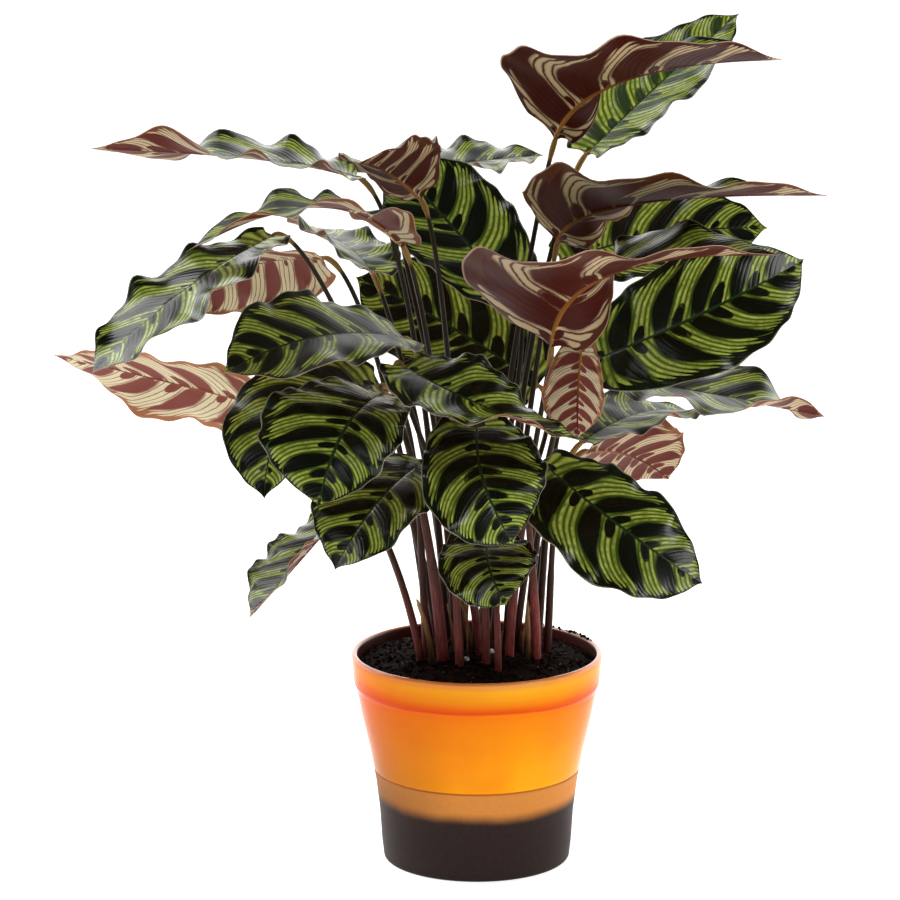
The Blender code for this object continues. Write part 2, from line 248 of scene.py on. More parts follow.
LEAVES = {
    "01": Leaf((-82, 323, -20), (-146, 335, -10), (-255, 341, 0), (0, 97, 24),
               (38, 34), (8, 4), (10, 10), (0, 38, 0.6), (5, 3.5, 0.0), (-20, 20), 2.6),
    "02": Leaf((-39, 308, -5), (-62, 323, 50), (-77, 324, 108), (-5, 98, -20),
               (26, 40), (20, 20), (5, 5), (22, 0, 0.5), (2.5, 3.5, 0.3), (-8, 20), 2.6),
    "03": Leaf((-51, 275, 20), (-106, 298, 70), (-188, 270, 75), (0, 97, 25),
               (30, 38), (4, 8), (10, 10), (0, 0, 0.5), (5, 3.5, 0.1), (-13, 9), 2.6),
    "04": Leaf((-137, 280, 40), (-195, 241, 80), (-250, 189, 105), (-49, 59, 62),
               (32, 44), (5, 5), (10, 10), (0, 0, 0.5), (5, 3.5, 0.2), (-26, 0), 2.6),
    "05": Leaf((-105, 268, -20), (-160, 264, -60), (-213, 240, -100), (0, 50, -87),
               (44, 38), (5, -45), (5, 0), (0, 0, 0.5), (4, 3, 0.0), (-32, 12), 2.6),
    "06": Leaf((-72, 259, -45), (-92, 280, -85), (-125, 297, -150), (0, 90, -30),
               (36, 36), (8, 8), (10, 10), (0, 0, 0.5), (4, 3, 0.0), (-18, 34), 2.6),
    "07": Leaf((-130, 163, 0), (-208, 183, -15), (-286, 201, -30), (0, 80, -60),
               (40, 38), (-8, -8), (0, 0), (0, -14, 0.5), (6, 2.0, 0.4), (-40, 4), 2.6),
    "08": Leaf((-49, 212, 18), (-105, 211, 88), (-163, 188, 115), (0, 73, 68),
               (42, 42), (13, 13), (-5, -5), (0, 0, 0.5), (4, 3, 0.0), (-14, -7), 2.6),
    "09": Leaf((-65, 180, 32), (-120, 163, 77), (-140, 108, 97), (-35, 45, 80),
               (42, 42), (8, 8), (0, 0), (0, 0, 0.5), (3, 3, 0.0), (-34, -12), 2.6),
    "10": Leaf((-64, 173, 73), (-87, 149, 118), (-103, 102, 128), (-20, 40, 85),
               (56, 40), (8, 8), (-5, -5), (0, 0, 0.5), (3, 3, 0.0), (-23, -24), 4.0),
    "11": Leaf((-33, 130, 60), (-64, 104, 103), (-92, 61, 120), (-45, 37, 80),
               (43, 38), (8, 8), (-5, -5), (0, 0, 0.5), (3, 3, 0.0), (-12, -36), 2.6),
    "12": Leaf((-89, 99, 30), (-116, 66, 60), (-149, 28, 75), (-70, 30, 36),
               (34, 34), (22, 22), (0, 0), (0, 0, 0.5), (3, 3, 0.0), (-38, -24), 2.6),
    "13": Leaf((-50, 193, 84), (-1, 167, 120), (63, 144, 120), (18, 72, 67),
               (40, 38), (10, 10), (0, 0), (0, -30, 0.4), (4, 3, 0.0), (2, -11), 2.6),
    "14": Leaf((0, 157, 70), (3, 118, 110), (22, 77, 114), (0, 35, 90),
               (40, 42), (8, 8), (-5, -5), (0, 0, 0.5), (3, 3, 0.0), (6, -32), 2.6),
    "15": Leaf((8, 81, 53), (7, 61, 88), (18, 36, 95), (0, 45, 90),
               (33, 33), (8, 8), (0, 0), (0, 0, 0.5), (2, 3, 0.0), (14, -44), 2.2),
    "16": Leaf((42, 129, 70), (90, 89, 108), (144, 51, 112), (10, 50, 85),
               (48, 34), (8, 8), (-5, -5), (0, 0, 0.5), (3, 3, 0.0), (40, -16), 3.0),
    "17": Leaf((70, 206, 44), (67, 174, 54), (67, 146, 53), (0, 10, -100),
               (18, 24), (12, 12), (5, 5), (0, 0, 0.5), (1, 3, 0.0), (27, 3), 2.2),
    "18": Leaf((50, 207, 45), (87, 252, 86), (190, 264, 110), (0, 100, 0),
               (94, 50), (6, 20), (10, 5), (-36, 10, 0.3), (4, 3.5, 0.2), (22, -16), 2.8),
    "19": Leaf((78, 197, 10), (147, 226, 40), (217, 263, 25), (10, 25, 95),
               (42, 42), (8, 8), (-5, -5), (0, 0, 0.5), (3, 3, 0.0), (34, 8), 2.6),
    "20": Leaf((59, 266, -45), (124, 285, -60), (199, 291, -70), (0, 50, 80),
               (38, 38), (8, 8), (0, 0), (0, 0, 0.5), (3, 3, 0.0), (24, 26), 2.6),
    "21": Leaf((55, 278, 6), (100, 300, 52), (224, 306, 60), (0, 100, 0),
               (52, 34), (26, 0), (5, 5), (-22, 18, 0.35), (5, 3.5, 0.0), (20, -2), 2.6),
    "22": Leaf((54, 349, 0), (98, 384, 38), (196, 396, 60), (0, 100, 0),
               (76, 34), (5, 40), (10, 5), (-55, 0, 0.5), (3.5, 3.5, 0.0), (4, 1), 2.6),
    "23": Leaf((76, 340, -30), (124, 387, -55), (180, 438, -75), (-47, 52, 70),
               (34, 40), (8, 8), (0, 0), (0, 0, 0.5), (3, 3, 0.0), (12, 28), 2.6),
    "24": Leaf((-50, 335, -125), (-6, 342, -150), (46, 348, -165), (0, 94, 34),
               (36, 36), (8, 8), (0, 0), (0, 0, 0.5), (4, 3, 0.0), (0, 46), 2.6),
    "25": Leaf((26, 239, -25), (-17, 292, -62), (-57, 335, -78), (20, 50, 85),
               (44, 44), (8, 8), (0, 0), (0, 0, 0.5), (3, 3, 0.0), (4, 10), 2.6),
    "26": Leaf((82, 187, -15), (156, 175, 8), (230, 160, 26), (0, 93, 37),
               (40, 40), (8, 8), (0, 0), (0, -60, 0.7), (5, 3, 0.0), (42, 22), 2.6),
    "27": Leaf((72, 142, 0), (113, 162, -40), (152, 162, -90), (0, 90, 30),
               (38, 38), (8, 8), (0, 0), (0, 0, 0.5), (4, 3, 0.0), (48, 4), 2.6),
    "28": Leaf((77, 136, -45), (107, 133, -80), (135, 117, -110), (0, 70, -70),
               (38, 38), (8, 8), (0, 0), (0, 0, 0.5), (3, 3, 0.0), (36, 34), 2.6),
    "29": Leaf((44, 182, -110), (-15, 222, -125), (-82, 258, -140), (-25, 40, 88),
               (44, 44), (8, 8), (0, 0), (0, 0, 0.5), (3, 3, 0.0), (9, 45), 2.6),
}
print("leaves in the table:", len(LEAVES))

# %% [markdown]
# ## The form of a blade
# A blade is a sheet over two numbers: how far along the midrib, and how far across towards the margin.
# The midrib is a parabola through its three points. Each half leaves it at its fold angle and bends
# on as an arc, and the margin's waves grow with the distance from the midrib. On a real calathea the
# sheet is also quilted: the dark blotches and the light bands between them bulge a little, in step
# with the side veins. That quilting and a second, finer wave are what this grid adds to the solid.

# %% Midrib and frame of a blade
def seen(point, slide):
    """A place in space from across, up and near, then slid towards the eye along its line of sight."""
    across, up, near = point
    place = RIM_CENTRE + across * ACROSS + up * UP + near * NEAR
    return place + slide * unit(EYE - place)


def midrib(leaf, along):
    """The parabola through base, bend (half way) and tip, and its direction."""
    slide = UPRIGHT * leaf.base[1]
    base, bend, tip = (seen(point, slide) for point in (leaf.base, leaf.bend, leaf.tip))
    pull = 2.0 * bend - (base + tip) / 2.0
    s = along[:, None]
    points = (1 - s) ** 2 * base + 2 * s * (1 - s) * pull + s**2 * tip
    return points, unit((1 - s) * (pull - base) + s * (tip - pull))


def blade_frame(leaf, along):
    """Midrib points, direction of growth, the blade's left, and the way its green face looks."""
    points, growth = midrib(leaf, along)
    face = leaf.face[0] * ACROSS + leaf.face[1] * UP + leaf.face[2] * NEAR
    normal = unit(face - (growth @ face)[:, None] * growth)
    left = np.cross(normal, growth)
    base_turn, tip_turn, begins = leaf.roll
    turn = base_turn * (1 - smooth(0.0, 0.5, along)) + tip_turn * smooth(begins, begins + 0.3, along)
    turn = np.radians(turn)[:, None]
    return (
        points,
        growth,
        left * np.cos(turn) + normal * np.sin(turn),
        normal * np.cos(turn) - left * np.sin(turn),
    )


print("eye from the rim's middle, mm:", round(float(np.linalg.norm(EYE - RIM_CENTRE))))


# %% Outline
def outline(along):
    """Half width against the length, 1 at its widest: a round base, long sides, a blunt point."""
    return along**0.38 * np.clip(1.0 - along**3, 0.0, 1.0) ** 0.75 / 0.696


print("half width at a tenth, the middle, nine tenths:", outline(np.array((0.1, 0.5, 0.9))).round(2))

# %% Side veins and their beat
VEIN_SWEEP = 0.36

Nature = namedtuple("Nature", "bands start ripple dot")


def nature_of(number):
    """What differs from leaf to leaf: bands to a half, where they start, fine ripple, size of dots."""
    draw = np.random.default_rng(400 + int(number))
    bands = draw.uniform(4.7, 5.5)
    start = 0.25 + draw.uniform(-0.12, 0.12, 2)
    return Nature(bands, start, draw.uniform(0.0, 1.0, 3), draw.uniform(0.0, 1.0))


def vein_beat(nature, along, reach, half):
    """Which side vein runs through a point, in bands: each whole number is the middle of a blotch.

    A side vein leaves the midrib steeply and sweeps forward to the margin, so a point belongs to the
    vein that started further back: by the sweep times the blade's width there and its reach, bent
    with 0.6 r + 0.4 r cubed. Near the base the veins crowd together, so the sweep starts from nothing.
    """
    bend = 0.6 * reach + 0.4 * reach**3
    along = np.clip(along, 0.0, 1.0)
    started = along - VEIN_SWEEP * outline(along) * (1 - (1 - along) ** 2.6) * bend
    return nature.bands * started + np.asarray(nature.start)[half]


print("bands to a half of leaf 01:", round(nature_of("01").bands, 1))

# %% The green face
WAVE_START = 2.5
LOBE_BACK = 8.0
LOBE_ROUND = 0.03
QUILT = 0.45
RIPPLE = 1.6
SCALLOP = 0.025
TIP_FROM = 0.975
TIP_END = 1.025


def pointed(along):
    """The outline with a drawn-out tip: from 0.975 on, the width falls as a power of 1.5 to a point."""
    left = np.clip((TIP_END - along) / (TIP_END - TIP_FROM), 0.0, 1.0)
    return np.where(along < TIP_FROM, outline(np.clip(along, 0.0, 1.0)), outline(TIP_FROM) * left**1.5)


def green_face(leaf, nature, along, across, half):
    """The upper face on a grid, rows along the midrib and columns across, from left (1) to right (-1)."""
    points, growth, left, normal = blade_frame(leaf, along)
    reach = np.abs(across)
    width = np.array(leaf.width, float)[half]
    fold = np.radians(np.array(leaf.fold, float))[half]
    curl = np.radians(np.array(leaf.curl, float) + 0.01)[half]
    out = width * (np.sin(fold + curl * reach) - np.sin(fold)) / curl
    rise = width * (np.cos(fold) - np.cos(fold + curl * reach)) / curl
    s = along[:, None]
    shape = pointed(along)[:, None]
    height, count, start = leaf.wave
    wave = height * np.sin(2 * np.pi * (count * s + start + 0.35 * half)) * reach**WAVE_START
    turns = 2 * np.pi * (8.0 * s + nature.ripple[0] + nature.ripple[1] * half)
    ripple = RIPPLE * np.sin(turns + 2.0 * np.sin(5.0 * s)) * reach**3
    pulse = np.cos(2 * np.pi * vein_beat(nature, s, reach, half))
    quilt = QUILT * pulse * np.sin(np.pi * reach**0.8)
    lift = shape * (rise + wave + ripple + quilt)
    sideways = shape * out * np.sign(across) * (1.0 - SCALLOP * pulse * reach**6)
    back = LOBE_BACK * np.clip(1 - s, 0.0, 1.0) ** 5 * smooth(0.0, LOBE_ROUND, s) * reach**2
    return (
        points[:, None, :]
        + sideways[..., None] * left[:, None, :]
        + lift[..., None] * normal[:, None, :]
        - back[..., None] * growth[:, None, :]
    )


# %% The whole blade, with its rib and thin margin
BLADE_ROWS = 100
BLADE_THICK = 0.55
MARGIN_THICK = 0.25
RIB_DEPTH = 1.5
RIB_WIDTH = 1.2
CHANNEL = 0.35

steps = np.linspace(0.0, 1.0, BLADE_ROWS)
ALONG = (steps - 0.14 * np.sin(2 * np.pi * steps)) * TIP_END
REACHES = np.concatenate(([0.0, 0.014, 0.03, 0.055, 0.09], np.linspace(0.14, 0.94, 15), [0.975, 1.0]))
COLUMNS = np.concatenate((REACHES[::-1], -REACHES))
HALVES = np.concatenate((np.ones(len(REACHES), int), np.zeros(len(REACHES), int)))


def face_normals(grid):
    """The way the green face looks: across the direction to the right and the direction of growth."""
    fine = np.cross(np.gradient(grid, axis=0), -np.gradient(grid, axis=1))
    middle = len(REACHES)
    for side, other in ((middle - 1, middle - 2), (middle, middle + 1)):
        fine[:, side] = fine[:, other]
    fine[0], fine[-1] = fine[1], fine[-2]
    blended = unit(fine)
    blended[:, middle - 1:middle + 1] = unit(blended[:, middle - 2] + blended[:, middle + 1])[:, None]
    return blended


def blade_rings(leaf, nature):
    """Rings across the green face from left to right and back under it, and the two UV maps."""
    s, reach = ALONG[:, None], np.abs(COLUMNS)[None, :]
    top = green_face(leaf, nature, ALONG, COLUMNS, HALVES)
    normal = face_normals(top)
    width = np.array(leaf.width, float)[HALVES][None, :]
    aside = reach * width * pointed(ALONG)[:, None]
    slimmer = (1 - 0.8 * np.clip(s, 0.0, 1.0)) * smooth(TIP_END, 0.97, s)
    ridge = np.exp(-((aside / RIB_WIDTH) ** 2)) * slimmer
    thick = BLADE_THICK + (MARGIN_THICK - BLADE_THICK) * smooth(0.8, 1.0, reach)
    under = top - normal * (thick + RIB_DEPTH * ridge)[..., None]
    upper = top - normal * (CHANNEL * ridge)[..., None]
    rings = np.concatenate((upper, under[:, ::-1]), axis=1)
    beat = vein_beat(nature, s, reach, HALVES)
    veins = np.stack((beat, np.broadcast_to(reach, beat.shape)), axis=-1)
    return rings, np.concatenate((veins, veins[:, ::-1]), axis=1)


def make_blade(number, leaf, pallor_and_backlight, dullness, finishes):
    """One blade with the maps that its markings follow, green above and maroon below."""
    nature = nature_of(number)
    rings, veins = blade_rings(leaf, nature)
    around = rings.shape[1]
    growth = np.stack(np.broadcast_arrays(ALONG[:, None], np.full((1, around), pallor_and_backlight)), axis=-1)
    habit = np.broadcast_to((nature.dot, dullness), rings.shape[:2] + (2,))
    slots = np.zeros(around, int)
    slots[len(COLUMNS) - 1:] = 1
    mesh = skin("blade_" + number, rings, {"veins": veins, "growth": growth, "habit": habit}, slots)
    piece("blade_" + number, mesh, finishes, "leaf_" + number)


print("rows along a blade:", BLADE_ROWS, "columns across both halves:", len(COLUMNS))

# %% [markdown]
# ## The markings
# The pattern is one piece of reasoning for both faces. The vein map gives two numbers: the beat of
# the side veins and the reach from midrib to margin. A dark blotch sits on each whole beat, a lens
# that tapers out before the margin. Half way between two blotches lies a light band, cut into stripes
# by thin dark veins, often with a dark dot where it meets the midrib. A dark border with a scalloped
# inner edge runs round the blade. Each stripe ends a little sooner or later than its neighbour, each
# dot has a size of its own, and noise in the blade's own space makes every edge unsteady, so nothing
# looks stamped.

# %% Masks from the vein map
STRIPES = 7.0
RAGGED = 0.06
SWELLS = 38.0  # 26 mm
FLECKS = 240.0  # 4 mm
SWAY = 0.035
JITTER = 0.01
BLOTCH = ((0.0, 0.12), (0.08, 0.18), (0.3, 0.24), (0.5, 0.23), (0.7, 0.14), (0.88, 0.03), (1.0, 0.0))
DOT_MIDDLE = (0.47, 0.1, 0.0)
DOT_NARROW = (8.0, 6.5, 0.0)
DOT_SEEDS = 50.0


def markings(tree, spread, line):
    """Masks of the pattern, each 0 to 1, as sockets by name.

    spread widens the blotches and line is the width of the thin veins; each a number or a socket.
    """
    veins = add(tree, "UVMap", uv_map="veins")
    habit = add(tree, "UVMap", uv_map="habit")
    beat, reach = (add(tree, "SeparateXYZ", {0: veins}, take=axis) for axis in (0, 1))
    dot_size, dullness = (add(tree, "SeparateXYZ", {0: habit}, take=axis) for axis in (0, 1))
    place = add(tree, "TexCoord", take=3)
    slow = add(tree, "TexNoise", {"Vector": place, "Scale": SWELLS, "Detail": 1.0})
    quick = add(tree, "TexNoise", {"Vector": place, "Scale": FLECKS, "Detail": 2.0})
    sway = add(tree, "MapRange", {0: slow, 1: 0.25, 2: 0.75, 3: -SWAY, 4: SWAY})
    jitter = add(tree, "MapRange", {0: quick, 1: 0.2, 2: 0.8, 3: -JITTER, 4: JITTER})
    for unsteady in (sway, jitter):
        beat = add(tree, "Math", {0: beat, 1: unsteady}, operation="ADD")
    out = add(tree, "Math", {0: reach, 1: sway}, operation="ADD")
    counted = add(tree, "Math", {0: beat, 1: STRIPES}, operation="MULTIPLY")
    between_veins = add(tree, "Math", {0: counted}, operation="FLOOR")
    chance = add(tree, "TexWhiteNoise", {"W": between_veins}, noise_dimensions="1D")
    ragged = add(tree, "MapRange", {0: chance, 3: -RAGGED, 4: RAGGED})
    ragged_out = add(tree, "Math", {0: out, 1: ragged}, operation="ADD")

    from_blotch = add(tree, "Math", {0: beat, 1: 0.5}, operation="PINGPONG")
    lens = add(tree, "FloatCurve", {"Value": ragged_out}, points=BLOTCH)
    inside = add(tree, "Math", {0: lens, 1: from_blotch}, operation="SUBTRACT")
    inside = add(tree, "Math", {0: inside, 1: spread}, operation="ADD")
    blotch = add(tree, "MapRange", {0: inside, 1: -0.015, 2: 0.012}, **SOFT)
    border = add(tree, "MapRange", {0: inside, 1: -0.1, 2: -0.01}, **SOFT)

    stripe = add(tree, "Math", {0: counted, 1: 0.5}, operation="PINGPONG")
    vein = add(tree, "MapRange", {0: stripe, 1: 0.02, 2: line, 3: 1.0, 4: 0.0}, **SOFT)
    scallop = add(tree, "MapRange", {0: stripe, 1: 0.0, 2: 0.4, 3: 0.79, 4: 0.88}, **SOFT)
    beyond = add(tree, "Math", {0: ragged_out, 1: scallop}, operation="SUBTRACT")
    margin = add(tree, "MapRange", {0: beyond, 1: -0.015, 2: 0.02}, **SOFT)

    round_beat = add(tree, "Math", {0: beat}, operation="FRACT")
    spot = add(tree, "CombineXYZ", {0: round_beat, 1: out})
    spot = add(tree, "VectorMath", {0: spot, 1: DOT_MIDDLE}, operation="SUBTRACT")
    spot = add(tree, "VectorMath", {0: spot, 1: DOT_NARROW}, operation="MULTIPLY")
    spot = add(tree, "VectorMath", {0: spot}, take=1, operation="LENGTH")
    band = add(tree, "Math", {0: beat}, operation="FLOOR")
    own = add(tree, "Math", {0: dot_size, 1: DOT_SEEDS, 2: band}, operation="MULTIPLY_ADD")
    own = add(tree, "TexWhiteNoise", {"W": own}, noise_dimensions="1D")
    size = add(tree, "MapRange", {0: dot_size, 3: 0.2, 4: 1.0})
    size = add(tree, "Math", {0: own, 1: 0.6, 2: size}, operation="MULTIPLY_ADD")
    inside_dot = add(tree, "Math", {0: size, 1: spot}, operation="SUBTRACT")
    dot = add(tree, "MapRange", {0: inside_dot, 1: -0.06, 2: 0.06}, **SOFT)

    return {
        "dark": add(tree, "Math", {0: blotch, 1: dot}, operation="MAXIMUM"),
        "border": border, "vein": vein, "stripe": stripe, "margin": margin,
        "rib": add(tree, "MapRange", {0: reach, 1: 0.016, 2: 0.034, 3: 1.0, 4: 0.0}),
        # rim: a pale line along the margin, the leaf's pale edge together with a painted edge highlight.
        "rim": add(tree, "MapRange", {0: reach, 1: 0.978, 2: 0.99}),
        "slow": slow, "quick": quick, "chance": chance, "place": place, "dullness": dullness,
    }


print("thin veins to a band:", int(STRIPES))

# %% [markdown]
# ## Leaf cuticle, the green face
# A leaf's upper face is covered by a clear wax skin, the cuticle, over green cells. The colour lies
# under the skin, so the blade shines like satin: it looks deep green head on, and pale grey where
# light skims across it. A thin leaf also lets some light through, which is added as a translucent
# part. The pleats of the side veins are too fine for the grid, so they are a bump. Some leaves are
# paler than others, and on the palest the blotches are narrower and greener. The palest green face,
# on leaf 23 at the top right, stands for a leaf lit from behind: its lighter blotches are painted
# backlight glow and sheen.

# %% Green face
VEIN_LINE = 0.085
GRAIN = 1400.0  # 0.7 mm


def leaf_cuticle(tree):
    """Waxy leaf skin over green cells: satin, index 1.45, with some of the light passing through."""
    growth = add(tree, "UVMap", uv_map="growth")
    pallor_and_backlight = add(tree, "SeparateXYZ", {0: growth}, take=1)
    narrower = add(tree, "MapRange", {0: pallor_and_backlight, 1: 0.5, 2: 1.0, 3: 0.0, 4: -0.1})
    mask = markings(tree, narrower, VEIN_LINE)
    fresh = add(tree, "Math", {0: mask["chance"], 1: 0.3, 2: mask["quick"]}, operation="MULTIPLY_ADD")
    fresh = add(tree, "MapRange", {0: fresh, 1: 0.35, 2: 0.85})
    light = add(tree, "Mix", {0: fresh, 6: "#6C7E26", 7: "#BECA5C"}, **COLOUR)
    centre = add(tree, "MapRange", {0: mask["stripe"], 1: 0.1, 2: 0.4})
    fade = add(tree, "MapRange", {0: mask["quick"], 1: 0.3, 2: 0.6, 3: 0.2, 4: 0.7})
    vein = add(tree, "Math", {0: fade, 1: mask["vein"]}, operation="MULTIPLY")
    # Painted backlight: the palest leaves get lighter blotches on the green face.
    pale = add(tree, "MapRange", {0: pallor_and_backlight, 1: 0.5, 2: 1.0})
    deep = add(tree, "Mix", {0: pale, 6: "#0B0F03", 7: "#2E3E1C"}, **COLOUR)
    colour = add(tree, "Mix", {0: centre, 6: "#4E621A", 7: light}, **COLOUR)
    # The last tone, the pale rim, is partly a painted edge highlight along the margin.
    for share, tone in ((mask["border"], "#344A12"), (vein, "#26340F"), (mask["dark"], deep),
                        (mask["margin"], "#0F1806"), (mask["rib"], "#1E3314"), (mask["rim"], "#8A8F70")):
        colour = add(tree, "Mix", {0: share, 6: colour, 7: tone}, **COLOUR)
    pleat = add(tree, "MapRange", {0: mask["stripe"], 1: 0.0, 2: 0.35}, **SOFT)
    grain = add(tree, "TexNoise", {"Vector": mask["place"], "Scale": GRAIN, "Detail": 2.0})
    relief = add(tree, "Math", {0: grain, 1: 0.25}, operation="MULTIPLY")
    relief = add(tree, "Math", {0: relief, 1: pleat}, operation="ADD")
    bump = add(tree, "Bump", {"Strength": 0.3, "Distance": 0.25 * MM, "Height": relief})
    rough = add(tree, "MapRange", {0: mask["slow"], 1: 0.3, 2: 0.7, 3: 0.15, 4: 0.23})
    rough = add(tree, "Math", {0: mask["dullness"], 1: 0.3, 2: rough}, operation="MULTIPLY_ADD")
    wax = add(tree, "BsdfPrincipled", {
        "Base Color": colour, "Roughness": rough, "IOR": 1.45, "Specular IOR Level": 0.4, "Normal": bump,
    })
    through = add(tree, "BsdfTranslucent", {"Color": colour, "Normal": bump})
    return add(tree, "MixShader", {0: 0.16, 1: wax, 2: through})


# %% [markdown]
# ## The underside
# Below, the same cells hold a red pigment, so the blotches and the border are maroon, and the light
# bands are cream where the pigment is missing. The pigment is denser on some leaves than on others.
# Each blade carries that as its pallor: 0 is deep maroon, with blotches that spread and broad veins,
# and 1 is dusty rose. The midrib is yellow near the stalk. The underside has less wax than the green
# face, so it is duller.

# %% Underside
def leaf_underside(tree):
    """Lower leaf skin: maroon pigment over cream cells, dull, with light passing through."""
    growth = add(tree, "UVMap", uv_map="growth")
    along, pallor_and_backlight = (add(tree, "SeparateXYZ", {0: growth}, take=axis) for axis in (0, 1))
    spread = add(tree, "MapRange", {0: pallor_and_backlight, 3: 0.1, 4: -0.05})
    line = add(tree, "MapRange", {0: pallor_and_backlight, 3: 0.28, 4: 0.12})
    mask = markings(tree, spread, line)
    colour, pigment, edge = (
        add(tree, "Mix", {0: pallor_and_backlight, 6: deep, 7: dusty}, **COLOUR)
        for deep, dusty in (("#D8BA94", "#EADCB8"), ("#4A1006", "#8C463C"), ("#4A160E", "#B5754E")))
    near_stalk = add(tree, "MapRange", {0: along, 1: 0.1, 2: 0.6, 3: 1.0, 4: 0.0})
    rib = add(tree, "Mix", {0: near_stalk, 6: "#6A2A22", 7: "#B4762F"}, **COLOUR)
    # The last tone, the pale rim, is partly a painted edge highlight along the margin.
    for share, tone in ((mask["border"], pigment), (mask["vein"], pigment), (mask["dark"], pigment),
                        (mask["margin"], edge), (mask["rib"], rib), (mask["rim"], "#D0A890")):
        colour = add(tree, "Mix", {0: share, 6: colour, 7: tone}, **COLOUR)
    pleat = add(tree, "MapRange", {0: mask["stripe"], 1: 0.0, 2: 0.3, 3: 1.0, 4: 0.0})
    bump = add(tree, "Bump", {"Strength": 0.4, "Distance": 0.25 * MM, "Height": pleat})
    skin_below = add(tree, "BsdfPrincipled", {
        "Base Color": colour, "Roughness": 0.45, "IOR": 1.45, "Specular IOR Level": 0.15, "Normal": bump,
    })
    through = add(tree, "BsdfTranslucent", {"Color": colour, "Normal": bump})
    return add(tree, "MixShader", {0: 0.3, 1: skin_below, 2: through})


# %% The blades
# The 1.0 for leaf 23 paints backlight glow and sheen on its green face.
PALLOR_AND_BACKLIGHT = {"01": 0.45, "02": 0.15, "03": 0.5, "05": 0.85, "06": 0.6, "07": 0.95, "17": 0.8, "18": 0.12,
          "21": 0.25, "22": 0.0, "23": 1.0, "26": 0.5, "28": 0.6}
USUAL_PALLOR = 0.35
DULLNESS = {"01": 0.0, "02": 0.9, "03": 0.9, "04": 0.0, "05": 0.8, "06": 0.7, "08": 0.7, "23": 0.0,
            "26": 0.5, "27": 1.0}
USUAL_DULLNESS = 0.15

both_faces = (
    material_of("leaf_cuticle_green", leaf_cuticle),
    material_of("leaf_underside_maroon", leaf_underside),
)
for number, leaf in LEAVES.items():
    pallor_and_backlight, dullness = PALLOR_AND_BACKLIGHT.get(number, USUAL_PALLOR), DULLNESS.get(number, USUAL_DULLNESS)
    make_blade(number, leaf, pallor_and_backlight, dullness, both_faces)
print("blades:", len(LEAVES), "triangles so far:", triangles_so_far())

# %% [markdown]
# ## Stalks
# A calathea's stalk has three parts. The foot is a sheath, thick and pinkish, that wraps the younger
# stalks. Above it the stalk is thin and brown. Just under the blade sits a swollen joint, yellow and
# smooth, which turns the leaf towards the light. One path carries all three: it is upright in the
# soil, leans the way its leaf lies, and arrives in line with the midrib. Only the radius changes.

# %% Soil and pot sizes that the stalks need
POT_OUTSIDE = (
    (60.5, 0.0), (63.5, 2.5), (64.7, 12.5), (66.1, 34.0), (68.8, 56.0), (72.9, 77.5),
    (77.8, 99.0), (82.1, 121.0), (83.4, 122.4), (84.2, 132.0), (85.0, 141.8),
)
WALL = 4.0
FLOOR = 6.0
GAP = 0.3
SOIL_EDGE_HEIGHT = 136.5
SOIL_MOUND = 9.0
STALK_DEPTH = 24.0


def pot_radius(height):
    """Outer radius of the pot at a height: straight lines through the measured radii."""
    radii, heights = zip(*POT_OUTSIDE)
    return np.interp(height, heights, radii)


SOIL_EDGE = float(pot_radius(SOIL_EDGE_HEIGHT)) - WALL - GAP


def soil_height(x, y):
    """The mound: a paraboloid, highest in the middle and level with the edge height at the wall."""
    return SOIL_EDGE_HEIGHT + SOIL_MOUND * (1.0 - (x * x + y * y) / SOIL_EDGE**2)


print("soil, mm: radius", round(SOIL_EDGE, 1), "height in the middle", round(soil_height(0.0, 0.0), 1))

# %% Path and radius of a stalk
STALK_ROWS = 64
STALK_SIDES = 14
STALK_TOP_RADIUS = 1.5
STALK_END_RADIUS = 1.2
RUN_OUT_RADIUS = 0.7
ARRIVAL = 34.0
RISE = 0.42
STALK_GAP = 0.7
JOINT_LENGTH = 17.0
JOINT_SWELL = 0.55
SHEATH_LIP = 0.3
STRAIGHT = 3.0
UNDER_BLADE = np.array((0.004, 0.02, 0.04))
UP_SPAN = 200.0
DOWN_SPAN = 50.0


def stalk_path(leaf):
    """Points from the foot in the soil, up a cubic curve, to under the start of the midrib."""
    x, y = leaf.root
    mouth = np.array((x, y, soil_height(x, y) + STRAIGHT))
    foot = mouth - np.array((0.0, 0.0, STALK_DEPTH + STRAIGHT))
    ends, growth, _, looks = blade_frame(leaf, UNDER_BLADE)
    end = ends[0] - growth[0] * STALK_GAP
    span = np.linalg.norm(end - mouth)
    lean = unit(0.6 * unit(end - mouth) + np.array((0.0, 0.0, 1.0)))
    first = mouth + lean * RISE * span
    second = end - growth[0] * ARRIVAL
    t = np.linspace(0.0, 1.0, STALK_ROWS)[:, None]
    curve = (1 - t) ** 3 * mouth + 3 * t * (1 - t) ** 2 * first + 3 * t**2 * (1 - t) * second + t**3 * end
    under = ends[1:] - looks[1:] * np.array((1.1, 1.0))[:, None]
    return np.vstack((foot, foot + (0.0, 0.0, 0.5), curve, under, under[-1:]))


def stalk_radius(leaf, up, down, rng):
    """Radius from the distances up from the soil and down from the blade, in millimetres."""
    share = up / (up + down)
    plain = leaf.foot + (STALK_TOP_RADIUS - leaf.foot) * share
    sheath_end = rng.uniform(0.3, 0.45)
    sheath = SHEATH_LIP * (1 - smooth(sheath_end, sheath_end + 0.02, share))
    swell = JOINT_SWELL * smooth(0.0, 5.0, down) * (1 - smooth(JOINT_LENGTH - 6.0, JOINT_LENGTH, down))
    return plain + sheath + swell


